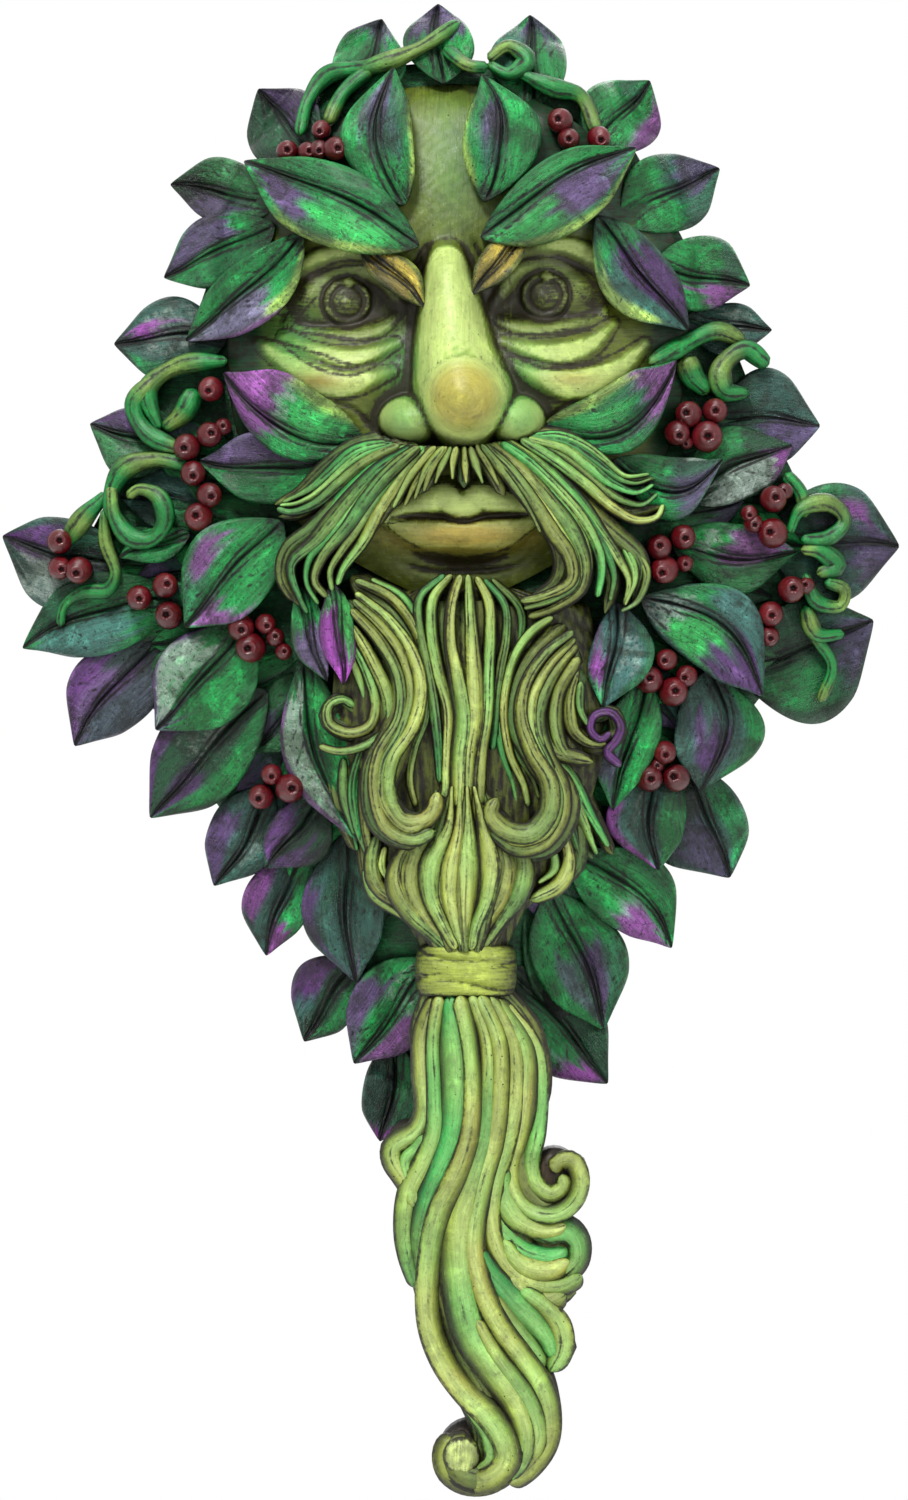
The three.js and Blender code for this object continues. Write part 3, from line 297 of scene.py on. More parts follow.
BEARD_LOCKS = [
    (7, 5, 37, 39, [-25, 43, -15, 35, -9, 25, -8, 15, -13, -1, -16, -11, -11, -17.5, -6, -17, -4, -10]),
    (7, 4, 35, 38, [-26, 37, -18, 28, -13, 17, -15, 5, -20, -5, -19, -18, -11, -23, -4, -20]),
    (7, 4, 33, 32, [-26, 31, -20, 20, -19, 9, -25, 4.5, -31, 8, -28, 12.5, -24, 9]),
    (6, 3, 31, 26, [-19, 9, -24, 1.5, -34, 1]),
    (7, 3, 29, 27, [-22, 2, -25, -10, -22, -22, -20, -33, -13, -37]),
    (6, 3, 28, 25, [-29, -3, -28, -14, -24, -25]),
    (7, 5, 37, 39, [28, 31, 19, 20, 16, 8, 21, -3, 26, -12, 22, -20, 14, -21, 10, -13]),
    (7, 4, 35, 37, [31, 25, 23, 13, 24, 1, 35, -3]),
    (7, 4, 33, 33, [32, 20, 28, 8, 34, 1.5, 41, 4, 39.5, 9.5, 35, 7]),
    (7, 4, 35, 36, [24, -3, 29, -14, 24, -24, 14, -25, 8, -20]),
    (7, 3, 29, 29, [31, -18, 30, -29, 19, -37]),
    (7, 3, 29, 23, [27, 0, 33, -13, 40, -26]),
    (6, 3, 28, 23, [24, -2, 30, -16, 35, -27]),
]
TAIL_LOCKS = [
    (8, 5, 26, 24, [20, -80, 17, -98, 19, -110, 26, -114, 31.5, -109, 30.5, -103, 25.5, -104]),
    (8, 6, 24, 21, [15, -88, 13, -108, 20, -118, 28.5, -118]),
    (9, 8, 24, 21, [12, -92, 12, -114, 18, -125, 26, -130, 32.5, -129]),
    (8, 7, 23, 20, [9, -104, 13, -124, 22, -134.5, 31, -135]),
    (9, 8, 23, 19, [7, -112, 10, -127, 18, -139, 26, -146, 28.5, -153]),
    (9, 7, 21, 20, [14, -152, 18, -164, 16, -176, 9, -182, 1.5, -180, 0.5, -173.5, 6, -173]),
    (7, 5, 23, 18, [-4, -78, -6, -92, -10, -101, -16.5, -99.5]),
]

# Rounded bodies in the curls and lobes of the tail: x, z, radius across and up, height, colour
DOMES = [
    (25.5, -106, 6.5, 7, 22, BROWN * 1.6), (5, -175.5, 8.5, 8.5, 13.5, BROWN * 1.6),
    (2.4, -176, 4.8, 5, 18.5, PALE), (-10.5, -99, 6, 7, 21, BROWN * 1.6),
    (25, -125, 7, 6, 19, OLIVE * 0.8), (22.5, -147, 5, 7, 16.5, OLIVE * 0.8),
]

# Strands of hair: width at root, middle and tip, height at root and tip, green tint, then the path
MOUSTACHE_LEFT = [
    (2.6, 3.0, 1.2, 46, 33, .75, [-16, 76, -24, 74, -30, 69, -35, 65, -42, 61.5]),
    (2.8, 3.2, 1.4, 47, 33, .6, [-13, 75.5, -22, 71, -28, 66, -34, 61, -40, 59, -43.5, 60]),
    (2.8, 3.4, 1.6, 49, 34, .8, [-10, 75, -18, 70, -24, 64, -29, 58, -34, 52, -40, 46, -38, 38, -36, 34]),
    (2.8, 3.6, 1.8, 50, 36, .55, [-8, 75, -15, 69, -21, 62, -26, 55, -32, 48, -34, 42, -31, 38]),
    (2.6, 3.4, 1.6, 50, 38, .4, [-6, 75, -12, 69, -18, 60, -22, 52, -27, 45, -28.5, 41]),
]
MOUSTACHE_RIGHT = [
    (2.6, 3.2, 2.0, 50, 40, .1, [8, 75.5, 14, 70, 20, 62, 25, 54, 29, 48, 29.5, 42, 22, 38, 17, 37]),
    (2.8, 3.6, 2.0, 50, 38, .25, [10, 76, 17, 70, 24, 62, 30, 54, 33, 46, 32, 40, 25, 35, 19, 33]),
    (2.8, 3.6, 1.8, 49, 36, .8, [12, 76, 20, 70, 28, 62, 34, 54, 37, 46, 36, 38]),
    (2.8, 3.4, 1.6, 48, 34, .55, [14, 76.5, 22, 71, 30, 63, 36, 55, 41, 48, 44, 42, 43, 36]),
]
MOUSTACHE_TOP = [
    (2.8, 3.2, 1.4, 48, 33, .35, [17, 77, 25, 72, 33, 66, 40, 60, 46, 57, 51, 58, 52.5, 61]),
    (2.6, 3.0, 1.2, 47, 32, .7, [19, 77.3, 28, 75, 34, 70.5, 40, 66, 46, 64, 50, 66]),
    (2.4, 2.8, 1.0, 46, 32, .8, [20, 77.5, 27, 77.5, 33, 75, 38, 71.5, 43, 68, 49, 68.5]),
]
SHORT_HAIRS = [
    (2.2, 2.4, 1.0, 51, 44, .1, [-5, 75, -11, 68.5, -17, 59]),
    (2.0, 2.2, 1.0, 52, 46, 0, [-4, 75, -10, 68, -14.5, 60]),
    (1.8, 2.1, 1.0, 52, 47, .1, [-3, 75, -8, 68, -11.8, 60.5]),
    (1.8, 2.0, .9, 53, 48, 0, [-2, 75, -6.5, 69, -9.3, 62]),
    (1.6, 1.9, .9, 53, 49, .2, [-1.3, 75, -4.8, 70, -7, 64]),
    (1.6, 1.8, .8, 53, 50, .1, [-0.3, 75, -2.8, 70, -4.2, 66]),
    (1.6, 1.8, .8, 53, 50, 0, [1.2, 75, 0.3, 71, 0.2, 67]),
    (1.6, 1.8, .8, 53, 50, .1, [3, 75, 3.2, 70, 3.5, 66]),
    (1.6, 1.9, .8, 53, 50, 0, [4.5, 75, 6, 70.5, 7.6, 66]),
    (1.8, 2.0, .9, 52, 48, .1, [6, 75.5, 9, 70.5, 11.6, 65.5]),
    (2.0, 2.2, 1.0, 52, 46, .2, [7.2, 75.5, 12, 69.5, 15.5, 64]),
    (2.2, 2.4, 1.2, 51, 44, .1, [7.8, 75.5, 14, 68, 19, 60.5, 22, 54]),
    (2.0, 2.4, 1.0, 33, 34, .5, [40, 56, 45, 50, 48.3, 44, 46, 37, 42, 34.5]),
    (1.8, 2.2, 1.0, 34, 34, .4, [38, 57, 43, 50, 45.5, 43, 43, 36]),
]
BEARD_LEFT = [
    (2.4, 3.4, 4.4, 38, 40, .05,
     [-24, 39, -16, 32.5, -10, 24, -8, 15, -10, 6, -15, -2, -16, -10, -13, -17, -8, -18, -4.4, -15,
      -3.6, -10.5]),
    (2.6, 3.2, 3.2, 37, 39, .15,
     [-25, 35, -18, 27.5, -13, 18, -13, 8, -18, -1, -19, -10, -16, -19, -9.5, -22, -4.5, -20]),
]
BEARD_LEFT_MORE = [
    (2.4, 2.6, 1.6, 37, 33, .2, [-24, 42, -15, 37.5, -9, 29, -6.6, 18, -6.8, 8, -9.5, 0, -10.5, -8, -9, -14]),
    (2.0, 2.2, 1.4, 36, 31, .5, [-20, 42.5, -12, 38, -7.5, 30, -5.4, 18, -5.2, 6, -6.5, -3, -6.5, -10]),
    (2.6, 3.2, 2.0, 35, 30, .3, [-25, 31, -20, 22.5, -16, 13, -16.5, 5, -22, 1, -28, -0.3, -33, 1]),
    (2.4, 3.0, 2.0, 34, 31, .45,
     [-25.5, 28, -21, 19, -19, 11, -20.5, 6, -25.5, 4.3, -30.5, 6.6, -30.6, 11, -27, 12.6, -24.3, 10.8]),
    (1.8, 2.0, 1.2, 33, 30, .6, [-26, 25, -23, 18, -21.5, 12]),
    (2.2, 2.8, 1.6, 31, 29, .25, [-18, 2, -21.5, -6, -21.8, -16, -20.5, -25, -18, -32]),
    (2.4, 2.8, 1.6, 30, 27, .7, [-22, 1, -24.5, -8, -23.6, -18, -21, -26]),
    (2.2, 2.6, 1.2, 28, 25, .9, [-27, -2, -27, -10, -25, -18, -23.6, -25]),
    (2.8, 4.2, 3.0, 31, 30, .15, [-18.5, -21, -20, -28, -18.5, -34, -14, -37, -11.5, -35.5]),
    (1.8, 2.0, 1.2, 30, 29, .3, [-16.6, -24, -17.3, -29, -15.8, -32.5]),
    (1.6, 1.8, 1.2, 29, 27, .5, [-22, -30, -20, -36, -14, -40.5, -8, -44]),
]
BEARD_RIGHT = [
    (2.6, 3.4, 4.4, 38, 40, .1,
     [30, 29.5, 23, 24, 18, 16, 17, 8, 20, -1, 24, -8, 23.8, -15.5, 19.5, -20.5, 13.5, -19.8, 9.8, -15.6,
      11.2, -12]),
    (2.6, 3.2, 3.0, 36, 38, .2,
     [31, 26, 25, 18, 21.5, 8, 23.6, -1, 27.6, -9, 27.6, -17, 23, -23.5, 16, -25, 9.5, -20.5]),
]
BEARD_RIGHT_MORE = [
    (2.2, 2.4, 1.6, 37, 34, .15, [25, 33, 20, 29.5, 16, 24, 13.6, 16, 13, 8, 14.5, -1, 18, -9, 19, -14]),
    (1.8, 2.0, 1.2, 35, 32, .7, [18, 28, 13, 20, 11.4, 9, 12.5, -1, 15, -8, 16, -13]),
    (1.8, 2.0, 1.2, 34, 32, .5, [14, 8, 16.5, -1, 20, -7, 21.6, -12]),
    (2.8, 3.6, 2.0, 36, 33, 0, [31.5, 23, 26.5, 14, 26, 5, 29, -1.5, 34.5, -2]),
    (2.4, 3.0, 2.2, 35, 33, .05, [31, 20, 29, 12, 30, 5, 34, 1.6, 38.5, 1.4]),
    (1.8, 2.2, 1.4, 34, 33, .4, [32, 17, 32, 10, 34, 6]),
    (2.6, 4.0, 2.8, 32, 31, .1, [27.5, -20, 29, -28, 26.5, -33.5, 19.5, -37.3]),
    (1.8, 2.2, 1.4, 31, 30, .3, [25, -24, 25.4, -29.5, 21.5, -33]),
    (2.8, 3.2, 1.6, 33, 25, .7, [25, -1, 30, -7, 34, -15, 39, -24]),
    (2.8, 3.2, 1.4, 32, 25, .8, [25, -4, 29.5, -11, 32.5, -18, 36, -26]),
    (2.6, 3.0, 1.4, 32, 25, .6, [25, -8, 28, -15, 30.5, -22, 32.5, -29]),
]
CURL_RINGS = [
    (2.2, 2.2, 1.6, 34, 35, 2,
     [42, -4, 38.6, -0.6, 40.8, 2.4, 42, 5.8, 39.4, 9.4, 35.4, 8.6, 34.4, 5, 37, 2.6, 39.4, 4.4]),
]
CHIN = [
    (2.0, 2.6, 2.2, 37, 34, .7, [-2, 43.5, -8, 38, -8.3, 31, -6.6, 22, -4.8, 12, -3.6, 2, -3, -8]),
    (2.2, 3.0, 2.6, 38, 36, .25, [0, 43.5, -4.4, 38, -5, 30, -3.4, 20, -0.8, 10, -1, 0, -1.4, -12]),
    (2.4, 4.0, 3.0, 39, 37, .15, [2, 43.5, 0, 37, -0.6, 28, 1, 18, 2.6, 8, 1.6, -2, 1.4, -14]),
    (2.4, 3.8, 3.0, 39, 37, 0, [4, 43.5, 4.4, 37, 5, 28, 5.6, 18, 5.8, 8, 4.4, -2, 4, -14]),
    (2.2, 3.0, 2.6, 38, 36, .3, [6, 43, 9, 37, 9.4, 29, 9, 19, 8.8, 9, 7.4, -1, 6.8, -14]),
    (2.0, 2.4, 1.8, 37, 33, .8, [8, 42.3, 13, 36, 13.4, 28, 12, 20, 11, 10, 10, 0]),
    (1.6, 2.0, 1.4, 35, 33, .5, [10, 42.5, 17, 35, 17.2, 28, 14.6, 20]),
]
KNOT = [
    (1.2, 4.6, 2.8, 33, 32, .2, [-7, -19, -13, -26, -14.6, -33, -10.5, -41, -4, -47, -1.5, -49.5]),
    (1.2, 5.2, 3.0, 36, 33, .1, [-2, -9, -3.5, -18, -9, -26.5, -9.8, -34, -6, -42, 0, -49]),
    (1.2, 5.2, 3.0, 37, 34, .2, [0, -9, -0.8, -19, -5, -28, -5.4, -36, -2.4, -43, 1, -49.4]),
    (1.4, 5.4, 3.0, 38, 34, .05, [2, -9, 1.4, -20, -0.6, -29, -0.8, -37, 0.8, -44, 2.4, -49.6]),
    (1.4, 5.4, 3.0, 38, 34, 0, [3.8, -9, 4.4, -21, 4.2, -31, 3.8, -41, 3.5, -49.6]),
    (1.2, 5.4, 3.0, 38, 34, .1, [5.4, -9, 8, -21, 9.2, -30, 8, -38, 5.6, -44, 4.6, -49.6]),
    (1.2, 5.0, 2.8, 36, 33, .15, [7, -9, 11.6, -21, 13.8, -29, 12.4, -37, 8.6, -43, 6, -49.4]),
    (1.2, 4.4, 2.6, 34, 32, .3, [9, -17, 15, -22, 18, -28.5, 16.6, -36, 12, -43, 8, -49]),
]
TAIL = [
    ((2.2, 2.6, 2.8, 2.8, 3.4, 4.6, 4.4, 3), 0, 0, 29, 21, .1,
     [-4.6, -61.5, -7.6, -70, -7.8, -80, -7.2, -90, -9, -94.5, -12.4, -96.8, -15, -98.8, -15.2, -102,
      -13, -106, -10, -111]),
    ((2.4, 3.4, 3), 0, 0, 23, 18, .4, [-6, -96, -9, -99.5, -11.4, -102, -10.6, -107, -9, -114]),
    ((3, 3, 3, 3.6, 4.4, 4.2, 3), 0, 0, 31, 19, .5,
     [-3, -61, -4.6, -72, -4.2, -85, -4.2, -95, -7, -103, -10.4, -110, -11.6, -118, -11, -126, -8.6, -134]),
    ((3.4, 6, 6.6, 5.6, 4.6, 3.4), 0, 0, 33, 20, .9,
     [-0.6, -61, 0, -72, 0.8, -85, 0, -95, -4, -106, -7.4, -115, -8.4, -123, -7.2, -131]),
    ((3, 3, 4, 5.6, 6, 6, 5.6, 5.4, 5, 4.6, 4.2), 0, 0, 34, 21, .05,
     [2, -61, 4.4, -72, 5.4, -85, 4.6, -96, 1.3, -106, -3, -115, -5, -124, -5.9, -134, -5.2, -144,
      -2, -152.5, 3.4, -160, 9, -165.6, 13.3, -172, 13.9, -177.4, 10, -181.8, 4, -182.8,
      -0.7, -180, -1.7, -175.2, 0.8, -171]),
    ((3, 2.8, 4, 5.6, 6.6, 7, 7, 5.6, 4.4, 3.4), 0, 0, 34, 21, .4,
     [4.6, -61, 8.2, -72, 8.7, -85, 7.6, -96, 4.2, -107, 1.7, -116, 1, -126, 2.2, -137, 5, -147,
      10, -155, 15.4, -163, 18, -171, 17, -177.5, 12.6, -182]),
    ((3, 2.8, 3.4, 4.4, 5, 5.4, 5.4, 4.8, 4.2), 0, 0, 33, 20, 0,
     [7, -61, 11.6, -72, 12, -85, 10.6, -97, 7.6, -108, 5.6, -118, 5.6, -126, 8.2, -136, 12.2, -144,
      17.3, -151, 22, -158, 24.3, -165, 23.6, -173, 19.5, -179, 14, -182.8]),
    ((1.6, 3.6, 4.2, 3.6, 2.4), 0, 0, 20, 18, .2,
     [6.4, -142, 10.6, -150, 15.6, -157, 19.8, -164, 21.6, -171, 19.8, -177.5]),
    ((3, 3.6, 3.6, 4, 4.4, 4.2, 3.8, 3.8), 0, 0, 32, 21, .1,
     [9, -61.4, 14.8, -73, 15.2, -86, 13, -98, 10, -108, 9.2, -117, 11, -125, 15.5, -131, 22, -134,
      28.5, -133.6, 32.4, -131]),
    ((3, 4, 4.2, 4.6, 4.6, 4.2, 3.8, 3.2, 3), 0, 0, 30, 22, .1,
     [11, -62, 18, -74, 18.5, -86, 16.8, -97, 15, -104, 16.2, -110.6, 20.6, -114.8, 26, -115.3,
      30.6, -111.8, 31.8, -106.2, 29.8, -102.3, 26.5, -102.8, 26, -105.3]),
    ((2.6, 3, 3, 3, 3.2, 3, 2.8), 0, 0, 26, 20, .45,
     [12.5, -63, 20.6, -74, 21.8, -85, 21, -95, 19.4, -103, 21, -108.6, 24.8, -110.8, 28, -108.3,
      27.3, -105.6]),
    (3.6, 5.0, 3.0, 23, 19, .3, [12, -103, 13.5, -112, 18, -117.6, 24, -119.6, 28.4, -118.4]),
    (3.2, 4.8, 3.2, 23, 20, .7, [10, -112, 13, -120, 18.6, -125, 25, -126, 29, -124.4]),
    (3.2, 4.6, 3.2, 22, 19, .3, [12, -122, 17, -128.6, 24, -130.2, 29.4, -127.4]),
    (3.6, 4.6, 3.6, 23, 20, .55,
     [17, -116.4, 23.6, -119.4, 28.6, -119.4, 31.6, -122.4, 31.6, -127.4, 28, -131.4]),
    (3.2, 4.4, 3.0, 22, 19, .2, [14, -131.5, 20, -136.8, 25, -137.4, 28.4, -135.6]),
    (3.2, 4.6, 3.2, 24, 20, 1, [6.4, -124, 10, -131, 15, -137, 20.4, -142.5, 24, -147, 25.6, -151.8]),
    (3.0, 4.2, 2.8, 21, 18, .3, [9.6, -136, 15, -143, 20, -149, 23, -154]),
    (3.4, 4.4, 3.4, 22, 19, .6, [17, -134.6, 23.4, -139.4, 26.6, -144, 27, -149.6, 24.4, -155]),
    (2.2, 2.6, 1.8, 20, 18, .3, [3.4, -163.4, 7.2, -167, 10, -172, 10, -177.2, 6.2, -180, 2.6, -178.6]),
]

# Edges of the tied beard: z, left x, right x at each level
CHIN_LEVELS = [(37, -8, 12), (32, -8, 12.5), (20, -4.5, 10), (4, -1, 9), (-10, -3, 8.5), (-19, -9, 15),
               (-28, -14, 20), (-38, -11, 16), (-50, -4, 10)]
TAIL_LEVELS = [(-60, -7, 14), (-70, -10, 22), (-85, -8, 24), (-100, -9, 16), (-115, -12.5, 11),
               (-130, -10, 13), (-140, -7.5, 17), (-150, -4.5, 22), (-160, 1, 26), (-170, 5, 26.5),
               (-181, 5, 18)]

# Eyes: x, z of their middles
EYES = [(-26, 111.5), (23, 113)]
# Nose: z, middle x, half width and height at each level
NOSE = [(130, -1.5, 3.4, 39), (120, -1.2, 5.6, 46), (110, -0.2, 8.2, 51), (100, 0.6, 10, 56),
        (94, 2, 11.6, 61), (88, 3, 12.8, 65), (82, 3, 12, 62.5), (78, 3, 9, 56), (75, 3, 5, 44)]
# Middle of the ball of the nose
BALL_X, BALL_Z = 3, 87.3
# Wings of the nose: x, z, radius across and up, height
WINGS = [(-9.5, 82, 9, 6.6, 51), (14.8, 82, 8.6, 6.8, 51)]

# Folds of skin and lips: width, height over the face, paleness (how much painted highlight their tops take),
# then the path
FOLDS = [
    (3.4, 3, .8, [-41, 106, -34, 115.5, -26, 119, -18, 117.5, -12.5, 110.5]),
    (3, 2.4, .8, [-40, 105.5, -33, 103.5, -26, 103, -18, 104.5, -12.5, 108.5]),
    (6, 2.6, .9, [-42, 103, -34, 99.5, -25, 97.5, -14, 101]),
    (6.5, 2.6, .6, [-48, 101, -36, 94.5, -26, 91.5, -15, 94]),
    (3.4, 3, .8, [38, 109, 32, 116, 24, 120, 17, 118.5, 9.5, 109]),
    (3, 2.4, .8, [38, 108, 30, 106, 22, 104.5, 15, 105.5, 9.5, 108]),
    (6, 2.6, .9, [40, 106, 34, 101, 24, 99, 13, 101.5]),
    (6.5, 2.6, .6, [48, 101, 40, 94, 28, 91, 14, 96]),
    (4, 2.5, .5, [-44, 110, -38, 119, -28, 123, -19, 121.5]),
    (4, 2.5, .5, [44, 110, 38, 120, 28, 125, 17, 123]),
    (5, 4.5, .4, [-16, 57.5, -6, 61.5, -2, 62.5, 3, 60.8, 7, 62.5, 12, 61.5, 22, 58.5]),
    (6.4, 5.2, .9, [-14, 56, -6, 53.4, 3, 52.6, 11, 53.4, 20, 57]),
]


def step(low, high, value):
    share = np.clip((value - low) / (high - low), 0, 1)
    return share * share * (3 - 2 * share)


def mix(a, b, share):
    return a + (b - a) * share


def lay(paint, colour, share):
    """A colour laid over paint, with its share at each point."""
    return mix(paint, colour, share[..., None])


def peak(value, middle, width):
    """A bell curve that is 1 at its middle."""
    return np.exp(-(((value - middle) / width) ** 2))


def kite_height(x, z):
    across = np.abs(x - 1) / 112
    along = np.abs(z - 60) / np.where(z > 60, 126, 150)
    outward = (across ** 1.35 + along ** 1.35) ** (1 / 1.35)
    return 32 * (1 - np.minimum(1, outward)) ** 0.75


def mound_height(x, z, middle_x, middle_z, half_width, half_height, height):
    outward = ((x - middle_x) / half_width) ** 2 + ((z - middle_z) / half_height) ** 2
    return height * (1 - np.minimum(1, outward)) ** 0.6


def head_mound(x, z):
    return mound_height(x, z, 1, 96, 66, 88, 35)


def ground(x, z):
    beard = mound_height(x, z, 3, -8, 38, 62, 27)
    return np.maximum(np.maximum(kite_height(x, z), head_mound(x, z)), beard)


def under_face(x, z):
    """How far what lies under the face is sunk, to stay clear of the sockets of the eyes."""
    return 13 * step(1.1, 0.75, ((x - 1) / 54) ** 2 + ((z - 103) / 64) ** 2)


def bell(x, z, middle_x, middle_z, radius_x, radius_z):
    return np.exp(-(((x - middle_x) / radius_x) ** 2) - ((z - middle_z) / radius_z) ** 2)


def face_base(x, z):
    height = head_mound(x, z) + 1
    for eye_x, eye_z in EYES:
        height = height - 7 * bell(x, z, eye_x, eye_z + 1, 16, 11)
        height = height + 4 * bell(x, z, eye_x * 1.2, eye_z - 22, 15, 8)
    return height + 6 * bell(x, z, 2.5, 62, 26, 16) - 3.5 * bell(x, z, 3, 48, 16, 4)


def curve(knots, spacing):
    """A centripetal spline through knots: points, left normals, shares of the length, length."""
    knots = np.array(knots, float).reshape(-1, 2)
    ends = np.vstack([2 * knots[0] - knots[1], knots, 2 * knots[-1] - knots[-2]])
    dense = []
    for i in range(len(knots) - 1):
        p0, p1, p2, p3 = ends[i:i + 4]
        d0, d1, d2 = (max(np.linalg.norm(b - a), 1e-4) ** 0.5 for a, b in ((p0, p1), (p1, p2), (p2, p3)))
        m1 = ((p1 - p0) / d0 - (p2 - p0) / (d0 + d1) + (p2 - p1) / d1) * d1
        m2 = ((p2 - p1) / d1 - (p3 - p1) / (d1 + d2) + (p3 - p2) / d2) * d1
        t = np.linspace(0, 1, 40, endpoint=i == len(knots) - 2)[:, None]
        dense.append((2 * t ** 3 - 3 * t ** 2 + 1) * p1 + (t ** 3 - 2 * t ** 2 + t) * m1
                     + (3 * t ** 2 - 2 * t ** 3) * p2 + (t ** 3 - t ** 2) * m2)
    dense = np.vstack(dense)
    gone = np.concatenate([[0], np.cumsum(np.linalg.norm(np.diff(dense, axis=0), axis=1))])
    count = max(4, int(gone[-1] / spacing) + 1)
    share = np.linspace(0, 1, count)
    points = np.stack([np.interp(share * gone[-1], gone, dense[:, k]) for k in (0, 1)], axis=1)
    tangent = np.gradient(points, axis=0)
    tangent /= np.linalg.norm(tangent, axis=1)[:, None]
    return points, np.stack([-tangent[:, 1], tangent[:, 0]], axis=1), share, gone[-1]


def cells(rows, around):
    """For each cell between closed rings, its first point and the next point round the same ring."""
    start = np.arange(rows - 1)[:, None] * around
    place = np.arange(around)
    return (start + place).ravel(), (start + (place + 1) % around).ravel()


class Shells:
    """Closed shells gathered into one mesh: points, faces, paint, dark wash in the hollows that also paints
    their shade, brush direction.

    The fourth value of the paint is how much silver is brushed on dry over it, which also paints glints of
    light on the glossy paint.
    """

    def __init__(self):
        self.points, self.paint, self.wash, self.grain, self.quads, self.triangles = [], [], [], [], [], []
        self.count = 0

    def add(self, points, paint, wash, grain, quads, triangles):
        self.points.append(points)
        paint = np.broadcast_to(paint, (len(points), np.shape(paint)[-1]))
        bare = np.zeros((len(points), 4 - paint.shape[1]))
        self.paint.append(np.hstack([paint, bare]))
        self.wash.append(np.broadcast_to(wash, (len(points),)))
        self.grain.append(grain)
        self.quads.append(np.asarray(quads) + self.count)
        self.triangles.append(np.asarray(triangles) + self.count)
        self.count += len(points)

    def loft(self, rings, paint, wash, grain):
        """Rings of (rows, around, 3) joined in turn, with both ends closed by a fan."""
        rows, around = rings.shape[:2]
        a, b = cells(rows, around)
        quads = np.stack([a, a + around, b + around, b], axis=1)
        middles = np.stack([rings[0].mean(axis=0), rings[-1].mean(axis=0)])
        points = np.vstack([rings.reshape(-1, 3), middles])
        first, last = rows * around, rows * around + 1
        i = np.arange(around)
        j = (i + 1) % around
        top = (rows - 1) * around
        fans = np.vstack([np.stack([np.full(around, first), i, j], axis=1),
                          np.stack([np.full(around, last), top + j, top + i], axis=1)])
        # The middles take the values of the first point of their ring
        taken = np.concatenate([np.arange(rows * around), [0, top]])
        paint, wash, grain = (v.reshape(rows * around, -1)[taken].squeeze() for v in (paint, wash, grain))
        self.add(points, paint, wash, grain, quads, fans)

    def build(self, name, material, back_material):
        points = np.vstack(self.points) * MM
        faces = np.vstack(self.quads).tolist() + np.vstack(self.triangles).tolist()
        mesh = bpy.data.meshes.new(name)
        mesh.from_pydata(points.tolist(), [], faces)
        mesh.update()
        for layer, kind, field, values in (
            ("paint", "FLOAT_COLOR", "color", np.vstack(self.paint).ravel()),
            ("wash", "FLOAT", "value", np.concatenate(self.wash)),
            ("grain", "FLOAT_VECTOR", "vector", np.vstack(self.grain).ravel()),
        ):
            mesh.attributes.new(layer, kind, "POINT").data.foreach_set(field, values)
        mesh.materials.append(material)
        mesh.materials.append(back_material)
        # Faces that lie in the wall plane get the coat of the back, and no smooth shading
        turned = np.empty(len(mesh.polygons) * 3)
        middle = np.empty(len(mesh.polygons) * 3)
        mesh.polygons.foreach_get("normal", turned)
        mesh.polygons.foreach_get("center", middle)
        back = (turned.reshape(-1, 3)[:, 1] > 0.95) & (middle.reshape(-1, 3)[:, 1] > -1.2 * MM)
        mesh.polygons.foreach_set("material_index", back.astype(np.int32))
        mesh.polygons.foreach_set("use_smooth", ~back)
        piece = bpy.data.objects.new(name, mesh)
        bpy.context.scene.collection.objects.link(piece)
        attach(piece, "root")
        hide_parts("green_man_mask")
        return piece


def outline(share):
    return (4 * share * (1 - share)) ** 0.85 * (1 - 0.3 * step(0.7, 1, share))


# Height from tier to tier, rise of a leaf from base to tip, and depth of the feet that end inside
TIER_STEP = 1.8
LEAF_TILT = 4.5
INNER_BACK = -12.0


def spread_lines():
    """Lines across a leaf, closer at the midrib and at the rims."""
    half = np.array([0, .018, .04, .065, .09, .12, .155, .2, .27, .36, .46, .56, .66, .76, .85, .92, .965, 1])
    return np.concatenate([-half[::-1], half[1:]])


LINES = spread_lines()


